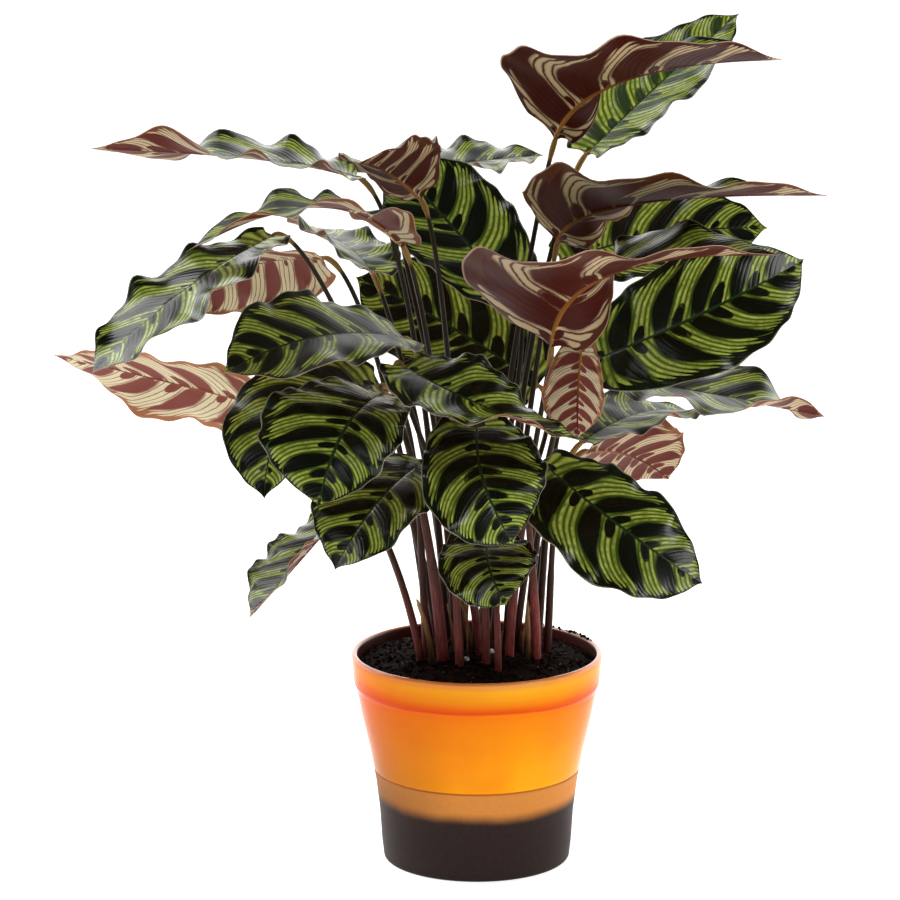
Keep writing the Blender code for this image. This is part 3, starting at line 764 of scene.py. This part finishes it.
def stalk_rings(number, leaf):
    """Rings round the path, a little flat on one side for the groove, and the map of both distances."""
    rng = np.random.default_rng(700 + int(number))
    path = stalk_path(leaf)
    lengths = np.concatenate(([0.0], np.cumsum(np.linalg.norm(np.diff(path, axis=0), axis=1))))
    up = np.clip(lengths - STALK_DEPTH, 0.0, None)
    down = np.clip(lengths[-4] - lengths, 0.0, None)
    radius = stalk_radius(leaf, up + 0.01, down, rng)
    radius[0], radius[-4:] = 0.0, (STALK_END_RADIUS, STALK_END_RADIUS, RUN_OUT_RADIUS, 0.0)
    growth = unit(np.gradient(path, axis=0) + np.array((0.0, 0.0, 1e-9)))
    growth[0], growth[-1] = growth[1], growth[-2]
    aside = unit(np.cross(path[-4] - path[2], (0.0, 0.0, 1.0)))
    across = unit(aside - (growth @ aside)[:, None] * growth)
    front = np.cross(growth, across)
    turn = np.linspace(0.0, 2 * np.pi, STALK_SIDES, endpoint=False)
    groove = 1.0 - 0.1 * np.exp(-((((turn - np.pi / 2 + np.pi) % (2 * np.pi)) - np.pi) / 0.5) ** 2)
    circle = np.cos(turn)[None, :, None] * across[:, None] + np.sin(turn)[None, :, None] * front[:, None]
    rings = path[:, None] + radius[:, None, None] * groove[None, :, None] * circle
    ends = np.stack((up / UP_SPAN, down / DOWN_SPAN), axis=-1)
    return rings, np.broadcast_to(ends[:, None], rings.shape[:2] + (2,))


# %% Stalk skin
# The first ramp is the pink foot of stalks in front; the second, darker one is painted shade on the feet of
# stalks behind.
PINK_FOOT = ((0.0, "#A8504C"), (0.12, "#8A423E"), (0.3, "#5E302A"), (0.6, "#3E2618"), (1.0, "#2C2112"))
SHADED_BROWN_FOOT = ((0.0, "#3A2018"), (0.3, "#332015"), (1.0, "#2A2212"))
STREAKS = (900.0, 900.0, 60.0)  # about 1 mm across and 17 mm long
BLURS = 60.0  # 17 mm


def stalk_skin(tree):
    """Leaf-stalk skin: brown and thinly waxed, with lengthwise streaks and a yellow joint. The foot is pink
    on stalks in front and dark brown on stalks behind, the dark brown being painted shade.
    """
    toned = add(tree, "UVMap", uv_map="blush_and_shade")
    blush_and_shade = add(tree, "SeparateXYZ", {0: toned}, take=0)
    ends = add(tree, "UVMap", uv_map="ends")
    up, down = (add(tree, "SeparateXYZ", {0: ends}, take=axis) for axis in (0, 1))
    place = add(tree, "TexCoord", take=3)
    drawn_out = add(tree, "Mapping", {"Vector": place, "Scale": STREAKS})
    streak = add(tree, "TexNoise", {"Vector": drawn_out, "Scale": 1.0, "Detail": 2.0})
    cloud = add(tree, "TexNoise", {"Vector": place, "Scale": BLURS, "Detail": 1.0})
    cloud = add(tree, "MapRange", {0: cloud, 3: -0.1, 4: 0.1})
    up = add(tree, "Math", {0: up, 1: cloud}, operation="ADD")
    pink = add(tree, "ValToRGB", {0: up}, points=PINK_FOOT)
    brown = add(tree, "ValToRGB", {0: up}, points=SHADED_BROWN_FOOT)
    # Stalks behind get the dark brown foot as painted shade.
    colour = add(tree, "Mix", {0: blush_and_shade, 6: brown, 7: pink}, **COLOUR)
    streaks = add(tree, "MapRange", {0: streak, 1: 0.4, 2: 0.7, 3: 0.0, 4: 0.6})
    joint = add(tree, "MapRange", {0: down, 1: 0.28, 2: 0.4, 3: 1.0, 4: 0.0}, **SOFT)
    for share, tone in ((streaks, "#20130D"), (joint, "#8A6A34")):
        colour = add(tree, "Mix", {0: share, 6: colour, 7: tone}, **COLOUR)
    bump = add(tree, "Bump", {"Strength": 0.4, "Distance": 0.2 * MM, "Height": streak})
    return add(tree, "BsdfPrincipled", {
        "Base Color": colour, "Roughness": 0.42, "IOR": 1.45, "Specular IOR Level": 0.15, "Normal": bump,
    })


# %% The stalks
# Share of the pink foot against the dark brown, painted shade: high for stalks rooted in front, low for
# those behind, and listed one by one for four stalks.
BLUSH_AND_SHADE = {"10": 0.75, "13": 0.5, "16": 1.0, "18": 1.0}

waxed_brown = material_of("stalk_skin_brown", stalk_skin)
for number, leaf in LEAVES.items():
    rings, ends = stalk_rings(number, leaf)
    blush_and_shade = BLUSH_AND_SHADE.get(number, 0.1 + 0.5 * float(smooth(5.0, -40.0, leaf.root[1])))
    toned = np.full(rings.shape[:2] + (2,), blush_and_shade)
    mesh = skin("petiole_" + number, rings, {"ends": ends, "blush_and_shade": toned})
    piece("petiole_" + number, mesh, (waxed_brown,), "stalk_" + number)
print("stalks:", len(LEAVES), "triangles so far:", triangles_so_far())

# %% [markdown]
# ## Old sheaths
# Between the stalks stand the dry remains of earlier ones: short papery sheaths, brown below and tan
# at their torn tips. Each is a thin crescent that narrows upwards, leans, and twists a little. The
# tallest stands in front on the left and bends away from the tuft.

# %% Dry sheaths
SHEATHS = 15
TORN_SHEATH = (-29.0, -32.0, 46.0, 3.4, math.pi, 12.0)
SHEATH_ROWS = 16
SHEATH_SIDES = 12
SHEATH_PAPER = 0.3
SHEATH_SUNK = 4.0
SHEATH_TONES = ((0.0, "#33200F"), (0.3, "#7A5234"), (0.7, "#A87E54"), (1.0, "#C09A6C"))
SHEATH_FOOT, SHEATH_TIP = 142.0, 195.0
FIBRE_STREAKS = (700.0, 700.0, 40.0)  # about 1.4 mm across and 25 mm long


def sheath_rings(rng, x, y, height, radius, away, bow):
    """Rings of a crescent sheet at x, y; its tip leans by bow towards the angle away, to a point."""
    t = np.linspace(0.0, 1.0, SHEATH_ROWS)[:, None]
    path_x = x + bow * math.cos(away) * t**2
    path_y = y + bow * math.sin(away) * t**2
    turn = np.linspace(0.0, 2 * np.pi, SHEATH_SIDES, endpoint=False)[None, :]
    narrow = radius * np.clip(1.0 - t**3, 0.0, 1.0) ** 0.7 * (1.0 - 0.35 * t)
    twist = rng.uniform(0, 2 * np.pi) + rng.uniform(-1.2, 1.2) * t
    aside = narrow * np.cos(turn)
    forward = SHEATH_PAPER * np.sin(turn) * (t < 1.0) + 0.55 * narrow * np.cos(turn) ** 2
    ragged = 2.5 * np.sin(3.0 * turn + twist[0]) * t**4 * (t < 1.0)
    return np.stack((
        path_x + aside * np.cos(twist) - forward * np.sin(twist),
        path_y + aside * np.sin(twist) + forward * np.cos(twist),
        soil_height(x, y) - SHEATH_SUNK + (height + SHEATH_SUNK) * t + ragged,
    ), axis=-1)


def sheath_paper(tree):
    """Dead sheath: papery and dull, brown at the foot and tan at the tip, with lengthwise fibres."""
    place = add(tree, "TexCoord", take=3)
    height = add(tree, "SeparateXYZ", {0: place}, take=2)
    high = add(tree, "MapRange", {0: height, 1: SHEATH_FOOT * MM, 2: SHEATH_TIP * MM})
    drawn_out = add(tree, "Mapping", {"Vector": place, "Scale": FIBRE_STREAKS})
    fibre = add(tree, "TexNoise", {"Vector": drawn_out, "Scale": 1.0, "Detail": 2.0})
    colour = add(tree, "ValToRGB", {0: high}, points=SHEATH_TONES)
    streaks = add(tree, "MapRange", {0: fibre, 1: 0.35, 2: 0.65, 3: 0.6, 4: 0.0})
    colour = add(tree, "Mix", {0: streaks, 6: colour, 7: "#24140D"}, **COLOUR)
    bump = add(tree, "Bump", {"Strength": 0.5, "Distance": 0.2 * MM, "Height": fibre})
    return add(tree, "BsdfPrincipled", {
        "Base Color": colour, "Roughness": 0.7, "Specular IOR Level": 0.2, "Normal": bump,
    })


dry_sheath = material_of("dry_sheath_paper", sheath_paper)
draw = np.random.default_rng(61)
for index in range(SHEATHS):
    x, y = draw.uniform(-26.0, 34.0), draw.uniform(-40.0, 6.0)
    height, radius = draw.uniform(14.0, 46.0), draw.uniform(1.6, 3.0)
    away, bow = draw.uniform(0, 2 * np.pi), draw.uniform(2.0, 9.0)
    mesh = skin("old_sheath_%02d" % (index + 1), sheath_rings(draw, x, y, height, radius, away, bow))
    piece(mesh.name, mesh, (dry_sheath,))
mesh = skin("torn_sheath", sheath_rings(draw, *TORN_SHEATH))
piece("torn_sheath", mesh, (dry_sheath,))
print("old sheaths:", SHEATHS + 1, "triangles so far:", triangles_so_far())

# %% [markdown]
# ## The pot
# A cover pot of glazed stoneware, turned on a wheel: a rim band, a wall that tapers to the foot, and a
# groove cut round it. A potter turns a profile, and so does this cell: the outline of the wall is
# carried round the upright axis. The lip is a half circle, and the groove is a small dip in the wall.

# %% Turned profile
AROUND = 160
WALL_ENDS = (2.5, 141.8)
SOFTEN = 1.6
GROOVE_HEIGHT = 63.3
GROOVE_DEPTH = 0.6
GROOVE_WIDTH = 0.75
LIP_RADIUS = 2.0
LIP_CENTRE = (83.0, 142.0)
FOOT_RADIUS = 2.3
FOOT_CENTRE = (61.2, 2.3)
INSIDE_TOP = 140.5


def wall_outline():
    """Outer wall from foot to lip: a running mean of the measured radii, with the groove cut in.

    The heights lie closer together at the groove and where the rim band begins.
    """
    height = np.unique(np.concatenate((
        np.linspace(*WALL_ENDS, 150), np.linspace(60.5, 66.0, 23), np.linspace(120.0, 123.6, 19))))
    offsets = SOFTEN * np.linspace(-1.0, 1.0, 9)
    radius = np.mean([pot_radius(np.clip(height + offset, *WALL_ENDS)) for offset in offsets], axis=0)
    radius -= GROOVE_DEPTH * np.exp(-(((height - GROOVE_HEIGHT) / GROOVE_WIDTH) ** 2))
    return np.stack((radius, height), axis=-1)


def arc(centre, radius, start, end, count):
    """Points on a circle from one angle to another, degrees, counted from straight out."""
    turn = np.radians(np.linspace(start, end, count))
    return np.stack((centre[0] + radius * np.cos(turn), centre[1] + radius * np.sin(turn)), axis=-1)


def pot_outline():
    """Closed outline from the middle of the base, up the outside, over the lip and down the inside."""
    outside = wall_outline()
    heights = np.linspace(INSIDE_TOP, FLOOR, 40)
    inside = np.stack((pot_radius(heights) - WALL, heights), axis=-1)
    foot = arc(FOOT_CENTRE, FOOT_RADIUS, -90.0, 0.0, 7)
    lip = arc(LIP_CENTRE, LIP_RADIUS, 5.0, 175.0, 15)
    return np.vstack(((0.0, 0.0), foot, outside, lip, inside, (0.0, FLOOR)))


def turned(outline_points, count):
    """Rings round the upright axis through each (radius, height) of an outline."""
    turn = np.linspace(0.0, 2 * np.pi, count, endpoint=False)
    radius, height = outline_points[:, 0:1], outline_points[:, 1:2]
    return np.stack((radius * np.cos(turn), radius * np.sin(turn), height + 0.0 * turn), axis=-1)


profile = pot_outline()
print("points in the pot's outline:", len(profile), "height of the rim, mm:", round(profile[:, 1].max(), 1))

# %% [markdown]
# ## Glazed stoneware
# The upper two thirds wear an orange glaze, glassy and a little uneven. It gathers red at the lower
# corner of the rim band, and turns yellow where it is thin, above the groove and near the lip. Its
# left side and its far right edge are darkened and reddened, which is painted shade, and low on the
# left the colour is darkened further, also painted shade. Below the groove the clay has only a thin
# tan wash, and the foot was sprayed dark brown, with a soft edge. Glaze is glass, so it is a
# dielectric with a low roughness, and the bare bands are rough. The lip holds the thickest glaze and
# shines most, and the inside is dark red-brown.

# %% Glaze
GLAZE_BY_HEIGHT = (
    (0.44, "#FFAA0A"), (0.55, "#FFA206"), (0.68, "#F79200"), (0.80, "#F58800"), (0.836, "#F07A00"),
    (0.848, "#DC4400"), (0.862, "#EC5E00"), (0.885, "#F48000"), (0.92, "#F9A20E"), (0.96, "#FDB01C"),
    (1.0, "#E49050"))
# The next two colours multiply the glaze as painted shade: one on the left side and the far right edge, one
# low on the left.
PAINTED_SIDE_SHADE = (0.8, 0.5, 0.35, 1.0)
LOW_LEFT_SHADE = (0.35, 0.35, 0.35, 1.0)
CLOUDS = 22.0  # 45 mm
SPECKS = 500.0  # 2 mm
RIPPLES = 60.0  # 17 mm
LONG_DRIFTS = (12.0, 12.0, 110.0)  # 83 mm round the pot and 9 mm high


def stoneware(tree, shine, haze):
    """Glazed stoneware: colour by height, glassy above the groove and rough below it.

    shine is the strength of its reflections, and haze is how rough the glassy part is.
    """
    place = add(tree, "TexCoord", take=3)
    x, height = (add(tree, "SeparateXYZ", {0: place}, take=axis) for axis in (0, 2))
    cloud = add(tree, "TexNoise", {"Vector": place, "Scale": CLOUDS, "Detail": 3.0})
    speckle = add(tree, "TexNoise", {"Vector": place, "Scale": SPECKS, "Detail": 2.0})
    lift = add(tree, "MapRange", {0: cloud, 1: 0.3, 2: 0.7, 3: -1.4 * MM, 4: 1.4 * MM})
    uneven = add(tree, "Math", {0: height, 1: lift}, operation="ADD")
    flattened = add(tree, "Mapping", {"Vector": place, "Scale": LONG_DRIFTS})
    drift = add(tree, "TexNoise", {"Vector": flattened, "Scale": 1.0, "Detail": 3.0})
    drift = add(tree, "MapRange", {0: drift, 1: 0.3, 2: 0.7, 3: -3.0 * MM, 4: 3.0 * MM})
    level = add(tree, "MapRange", {0: height, 1: 105.0 * MM, 2: 118.0 * MM, 3: 1.0, 4: 0.3})
    drifted = add(tree, "Math", {0: drift, 1: level, 2: height}, operation="MULTIPLY_ADD")
    band = add(tree, "MapRange", {0: drifted, 1: 0.0, 2: RIM_HEIGHT * MM})
    glaze = add(tree, "ValToRGB", {0: band}, points=GLAZE_BY_HEIGHT)
    patch = add(tree, "MapRange", {0: cloud, 1: 0.45, 2: 0.7, 3: 0.0, 4: 0.3})
    glaze = add(tree, "Mix", {0: patch, 6: glaze, 7: "#EA6A00"}, **COLOUR)
    # Painted shade: the left side and the far right edge are darkened and reddened.
    shade_to_left = add(tree, "MapRange", {0: x, 1: 30.0 * MM, 2: -90.0 * MM})
    shade_far_right = add(tree, "MapRange", {0: x, 1: 40.0 * MM, 2: 85.0 * MM, 3: 0.0, 4: 0.5})
    sides = add(tree, "Math", {0: shade_to_left, 1: shade_far_right}, operation="MAXIMUM")
    glaze = add(tree, "Mix", {0: sides, 6: glaze, 7: PAINTED_SIDE_SHADE}, blend_type="MULTIPLY", **COLOUR)
    wash = add(tree, "Mix", {0: speckle, 6: "#CC8038", 7: "#D88E42"}, **COLOUR)
    below = add(tree, "MapRange", {0: height, 1: 63.6 * MM, 2: 62.9 * MM})
    colour = add(tree, "Mix", {0: below, 6: glaze, 7: wash}, **COLOUR)
    # Painted shade: low on the left the colour is darkened further.
    left = add(tree, "MapRange", {0: x, 1: -15.0 * MM, 2: -65.0 * MM})
    low = add(tree, "MapRange", {0: height, 1: 130.0 * MM, 2: 48.0 * MM})
    painted_shade_low_left = add(tree, "Math", {0: left, 1: low}, operation="MULTIPLY")
    colour = add(tree, "Mix", {0: painted_shade_low_left, 6: colour, 7: LOW_LEFT_SHADE}, blend_type="MULTIPLY", **COLOUR)
    sprayed = add(tree, "MapRange", {0: uneven, 1: 50.5 * MM, 2: 40.5 * MM}, **SOFT)
    foot = add(tree, "Mix", {0: speckle, 6: "#241A19", 7: "#322624"}, **COLOUR)
    from_below, from_above = (
        add(tree, "MapRange", {0: height, 1: (GROOVE_HEIGHT + off) * MM, 2: GROOVE_HEIGHT * MM})
        for off in (-1.0, 1.0))
    groove = add(tree, "Math", {0: from_below, 1: from_above}, operation="MULTIPLY")
    for share, tone in ((sprayed, foot), (groove, "#A85A12")):
        colour = add(tree, "Mix", {0: share, 6: colour, 7: tone}, **COLOUR)
    rough = add(tree, "MapRange", {0: below, 3: haze, 4: 0.5})
    ripple = add(tree, "TexNoise", {"Vector": place, "Scale": RIPPLES, "Detail": 1.0})
    bump = add(tree, "Bump", {"Strength": 0.15, "Distance": 0.5 * MM, "Height": ripple})
    return add(tree, "BsdfPrincipled", {
        "Base Color": colour, "Roughness": rough, "IOR": 1.5, "Specular IOR Level": shine, "Normal": bump,
    })


def inner_glaze(tree):
    """The same clay inside, under a thin dark red-brown glaze."""
    place = add(tree, "TexCoord", take=3)
    cloud = add(tree, "TexNoise", {"Vector": place, "Scale": 90.0, "Detail": 2.0})
    colour = add(tree, "Mix", {0: cloud, 6: "#3A0E08", 7: "#5C1A10"}, **COLOUR)
    return add(tree, "BsdfPrincipled", {"Base Color": colour, "Roughness": 0.35, "IOR": 1.5})


# %% The pot
INNER_LIP = RIM_HEIGHT - 0.6

finishes = (
    material_of("glazed_stoneware", stoneware, 0.08, 0.16),
    material_of("inner_glaze", inner_glaze),
    material_of("thick_glaze_on_lip", stoneware, 0.5, 0.06),
)
starts = profile[:-1, 1]
past_top = np.arange(len(starts)) > np.argmax(profile[:, 1])
finish_of_row = np.where(starts > LIP_CENTRE[1] - 1.0, 2, 0)
finish_of_row = np.where(past_top & (starts < INNER_LIP), 1, finish_of_row)
pot_mesh = skin("glazed_pot", turned(profile, AROUND), slots=finish_of_row[:, None], sharp=50.0)
piece("glazed_pot", pot_mesh, finishes, "pot")
print("rows of the pot in each finish:", np.bincount(finish_of_row))

# %% [markdown]
# ## The soil
# Peat compost, damp and almost black: a low mound of crumbs with shreds of bark. The mound is turned
# like the pot, and its top is then made uneven by a few hundred soft bumps and hollows. Loose crumbs
# lie on it, some have fallen on the rim, and two pale beads of fertiliser lie on top.

# %% The mound
MOUND_RINGS = 76
MOUND_AROUND = 200
LUMPS = 520


def lumps_at(x, y):
    """Height added by soft bumps: each is a Gaussian hill or hollow of its own width and height."""
    rng = np.random.default_rng(11)
    radius = SOIL_EDGE * np.sqrt(rng.uniform(0, 1, LUMPS))
    turn = rng.uniform(0, 2 * np.pi, LUMPS)
    width = rng.uniform(1.3, 4.5, LUMPS)
    tall = rng.uniform(-0.25, 0.45, LUMPS) * width
    far = (x[..., None] - radius * np.cos(turn)) ** 2 + (y[..., None] - radius * np.sin(turn)) ** 2
    return (tall * np.exp(-far / width**2)).sum(axis=-1)


def make_mound():
    """A plug that fills the pot, with a lumpy domed top."""
    heights = np.linspace(FLOOR + GAP, SOIL_EDGE_HEIGHT - 1.0, 30)
    side = np.stack((pot_radius(heights) - WALL - GAP, heights), axis=-1)
    radii = SOIL_EDGE * np.sqrt(np.linspace(1.0, 0.0, MOUND_RINGS))
    top = np.stack((radii, soil_height(radii, 0.0)), axis=-1)
    rings = turned(np.vstack(((0.0, FLOOR + GAP), side, top)), MOUND_AROUND)
    dome = rings[len(side) + 1:]
    settle = smooth(0.0, 5.0, SOIL_EDGE - np.hypot(dome[..., 0], dome[..., 1]))
    dome[..., 2] += lumps_at(dome[..., 0], dome[..., 1]) * settle
    return skin("peat_mound", rings, sharp=180.0)


print("bumps and hollows on the soil:", LUMPS)

# %% Crumbs, fibres and beads
CRUMBS = 1700
FIBRES = 120
RIM_CRUMBS = 46
RIM_HEAP = 28


def pebble():
    """A small ball of six by four cells as points and faces, to be squashed into crumbs."""
    turn = np.linspace(0, 2 * np.pi, 6, endpoint=False)
    rise = np.radians((-45.0, 0.0, 45.0))
    body = np.stack(np.broadcast_arrays(
        np.cos(rise)[:, None] * np.cos(turn), np.cos(rise)[:, None] * np.sin(turn),
        np.sin(rise)[:, None] + 0.0 * turn), axis=-1).reshape(-1, 3)
    points = np.vstack((body, (0.0, 0.0, -1.0), (0.0, 0.0, 1.0)))
    faces = []
    for i in range(6):
        j = (i + 1) % 6
        faces += [(i, j, j + 6, i + 6), (i + 6, j + 6, j + 12, i + 12), (18, j, i), (12 + i, 12 + j, 19)]
    return points, faces


def scatter(name, centres, sizes, seed, form):
    """One mesh of many pebbles of a form, each stretched, dented and turned by seeded chance."""
    rng = np.random.default_rng(seed)
    points, faces = pebble()
    count = len(centres)
    dents = rng.uniform(0.7, 1.15, (count, len(points), 1))
    stretched = points[None] * form * dents * rng.uniform(0.6, 1.2, (count, 1, 3)) * sizes[:, None, None]
    turn = rng.uniform(0, 2 * np.pi, count)
    c, s = np.cos(turn)[:, None], np.sin(turn)[:, None]
    x = c * stretched[..., 0] - s * stretched[..., 1]
    y = s * stretched[..., 0] + c * stretched[..., 1]
    placed = np.stack((x, y, stretched[..., 2]), axis=-1) + centres[:, None]
    mesh = bpy.data.meshes.new(name)
    every = [tuple(k + n * len(points) for k in face) for n in range(count) for face in faces]
    mesh.from_pydata((placed.reshape(-1, 3) * MM).tolist(), [], every)
    mesh.shade_smooth()
    mesh.set_sharp_from_angle(angle=math.radians(50.0))
    return mesh


def on_mound(x, y, above):
    """Places on the lumpy mound, raised a little."""
    return np.stack((x, y, soil_height(x, y) + lumps_at(x, y) + above), axis=-1)


def crumb_places():
    """Crumbs spread evenly over the mound, more of them small than large."""
    rng = np.random.default_rng(21)
    radius = (SOIL_EDGE - 2.0) * np.sqrt(rng.uniform(0, 1, CRUMBS))
    turn = rng.uniform(0, 2 * np.pi, CRUMBS)
    sizes = 0.45 + 1.5 * rng.uniform(0, 1, CRUMBS) ** 3
    return on_mound(radius * np.cos(turn), radius * np.sin(turn), 0.2 * sizes), sizes


def rim_crumb_places():
    """Crumbs that lie on the lip, behind on the right: some in a heap, the others spread out."""
    rng = np.random.default_rng(22)
    heaped, spread_out = rng.normal(30.0, 5.0, RIM_HEAP), rng.uniform(18.0, 66.0, RIM_CRUMBS - RIM_HEAP)
    turn = np.radians(np.concatenate((heaped, spread_out)))
    sizes = rng.uniform(0.35, 1.2, RIM_CRUMBS)
    radius = rng.uniform(81.8, 83.8, RIM_CRUMBS)
    high = RIM_HEIGHT + 0.3 * sizes
    return np.stack((radius * np.cos(turn), radius * np.sin(turn), high), axis=-1), sizes


def fibre_places():
    """Bark fibres that lie about on the mound."""
    rng = np.random.default_rng(23)
    radius = (SOIL_EDGE - 6.0) * np.sqrt(rng.uniform(0, 1, FIBRES))
    turn = rng.uniform(0, 2 * np.pi, FIBRES)
    return on_mound(radius * np.cos(turn), radius * np.sin(turn), 0.7), rng.uniform(0.7, 1.6, FIBRES)


print("crumbs:", CRUMBS + RIM_CRUMBS, "shreds of bark:", FIBRES)

# %% Peat, bark and resin
PEAT_TONES = ((0.3, "#140B09"), (0.55, "#1A0F0C"), (0.75, "#2C1A14"))
BARK_TONES = ((0.35, "#24140E"), (0.55, "#4A3428"), (0.7, "#6E5440"))


def damp_peat(tree):
    """Damp peat: almost black, very rough, with browner crumbs every 4 mm and a 1 mm grain."""
    place = add(tree, "TexCoord", take=3)
    cloud = add(tree, "TexNoise", {"Vector": place, "Scale": 260.0, "Detail": 4.0})
    colour = add(tree, "ValToRGB", {0: cloud}, points=PEAT_TONES)
    grain = add(tree, "TexNoise", {"Vector": place, "Scale": 1200.0, "Detail": 3.0})
    bump = add(tree, "Bump", {"Strength": 0.8, "Distance": 0.6 * MM, "Height": grain})
    return add(tree, "BsdfPrincipled", {
        "Base Color": colour, "Roughness": 0.9, "Specular IOR Level": 0.04, "Normal": bump,
    })


def dry_bark(tree):
    """Shreds of bark: brown and dry, lighter and darker every 7 mm."""
    place = add(tree, "TexCoord", take=3)
    cloud = add(tree, "TexNoise", {"Vector": place, "Scale": 150.0})
    colour = add(tree, "ValToRGB", {0: cloud}, points=BARK_TONES)
    return add(tree, "BsdfPrincipled", {
        "Base Color": colour, "Roughness": 0.8, "Specular IOR Level": 0.2,
    })


def pale_resin(tree):
    """Coated fertiliser: a pale, dull resin shell."""
    place = add(tree, "TexCoord", take=3)
    cloud = add(tree, "TexNoise", {"Vector": place, "Scale": 900.0})
    colour = add(tree, "Mix", {0: cloud, 6: "#F6F3F0", 7: "#FFFFFF"}, **COLOUR)
    return add(tree, "BsdfPrincipled", {"Base Color": colour, "Roughness": 0.45})


# %% Soil pieces
BEADS = ((-7.0, -30.0), (10.0, -12.0))
BEAD_RADIUS = 1.85
BEAD_ABOVE = 1.2
ROUND = (1.0, 1.0, 1.0)
SHRED = (3.4, 0.35, 0.3)


def ball_rings(centre, radius):
    """Rings of a ball from its lowest to its highest point."""
    rise = np.linspace(-np.pi / 2, np.pi / 2, 13)
    return turned(np.stack((radius * np.cos(rise), radius * np.sin(rise)), axis=-1), 20) + centre


peat = material_of("peat_compost", damp_peat)
piece("peat_mound", make_mound(), (peat,), "soil")
for name, (places, sizes), seed, form, finish in (
    ("peat_crumbs", crumb_places(), 31, ROUND, peat),
    ("rim_crumbs", rim_crumb_places(), 32, ROUND, peat),
    ("bark_fibres", fibre_places(), 33, SHRED, material_of("bark_fibre", dry_bark)),
):
    piece(name, scatter(name, places, sizes, seed, form), (finish,))
resin = material_of("resin_coated_bead", pale_resin)
for index, (x, y) in enumerate(BEADS):
    centre = on_mound(np.array([x]), np.array([y]), np.array([BEAD_ABOVE]))[0]
    mesh = skin("pale_bead_%d" % (index + 1), ball_rings(centre, BEAD_RADIUS))
    piece(mesh.name, mesh, (resin,))
print("pieces:", len(pieces), "triangles in all:", triangles_so_far())

# %% [markdown]
# ## Studio
# The plant stands on pale paper, before a wide bright wall. The rest of the room is nearly dark, so
# that the leaves and the glaze keep the depth of their colours. Three soft boxes light it: a weak one
# in front on the left, a stronger one in front on the right, and a large one high up on the left, a
# little behind, which lays the sheen on the upper leaves.

# %% Floor and light
FLOOR_SIZE = 24.0
FLOOR_GLOW = 0.68
WALL_LIGHT = 2.6
ROOM_LIGHT = 0.07

# name, place and target in metres, width and height in metres, watts
SOFT_BOXES = (
    ("left_light", (-1.9, -1.5, 1.9), (0.0, 0.0, 0.3), (0.5, 1.2), 4.0),
    ("right_light", (1.9, -1.4, 1.8), (0.0, 0.0, 0.3), (1.0, 1.3), 32.0),
    ("high_left_light", (-1.45, 0.55, 2.0), (0.0, 0.0, 0.4), (1.5, 1.3), 40.0),
)


def seamless_paper(tree):
    """Seamless paper: pale and dull, and so evenly lit that it glows a little."""
    return add(tree, "BsdfPrincipled", {
        "Base Color": "#F4F3F1", "Roughness": 0.9, "Specular IOR Level": 0.1,
        "Emission Color": "#FFFFFF", "Emission Strength": FLOOR_GLOW,
    })


def soft_box(name, place, target, size, power):
    """A rectangular light that looks at a target."""
    light = bpy.data.lights.new(name, "AREA")
    light.shape = "RECTANGLE"
    light.size, light.size_y = size
    light.energy = power
    made = bpy.data.objects.new(name, light)
    made.location = place
    made.rotation_euler = (Vector(target) - Vector(place)).to_track_quat("-Z", "Y").to_euler()
    bpy.context.scene.collection.objects.link(made)


half = FLOOR_SIZE / 2
floor_mesh = bpy.data.meshes.new("studio_floor")
corners = [(-half, -half, 0.0), (half, -half, 0.0), (half, half, 0.0), (-half, half, 0.0)]
floor_mesh.from_pydata(corners, [], [(0, 1, 2, 3)])
floor_mesh.materials.append(material_of("seamless_paper", seamless_paper))
studio_floor = bpy.data.objects.new("studio_floor", floor_mesh)
bpy.context.scene.collection.objects.link(studio_floor)
studio_floor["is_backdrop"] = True

world = bpy.data.worlds.new("white_room")
world.use_nodes = True
tree = world.node_tree
tree.nodes.clear()
towards = add(tree, "TexCoord", take=0)
back, high_up = (add(tree, "SeparateXYZ", {0: towards}, take=axis) for axis in (1, 2))
behind = add(tree, "MapRange", {0: back, 1: -0.05, 2: 0.45}, **SOFT)
below_top = add(tree, "MapRange", {0: high_up, 1: 0.4, 2: 0.78, 3: 1.0, 4: 0.05}, **SOFT)
wall = add(tree, "Math", {0: behind, 1: below_top}, operation="MULTIPLY")
bright = add(tree, "MapRange", {0: wall, 3: ROOM_LIGHT, 4: WALL_LIGHT})
room = add(tree, "Background", {"Color": (1.0, 1.0, 1.0, 1.0), "Strength": bright})
add(tree, "OutputWorld", {"Surface": room})
bpy.context.scene.world = world
bpy.context.scene.view_settings.view_transform = "Standard"

for settings in SOFT_BOXES:
    soft_box(*settings)

# %% [markdown]
# ## Sizes
# Last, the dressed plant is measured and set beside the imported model, because the surfaces may refine
# the solids but not outgrow them.

# %% Measure and finish
low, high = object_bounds()
larger = [round((high[i] - low[i]) - (cad_high[i] - cad_low[i]), 4) for i in range(3)]
print("the dressed plant is larger by, metres:", larger)
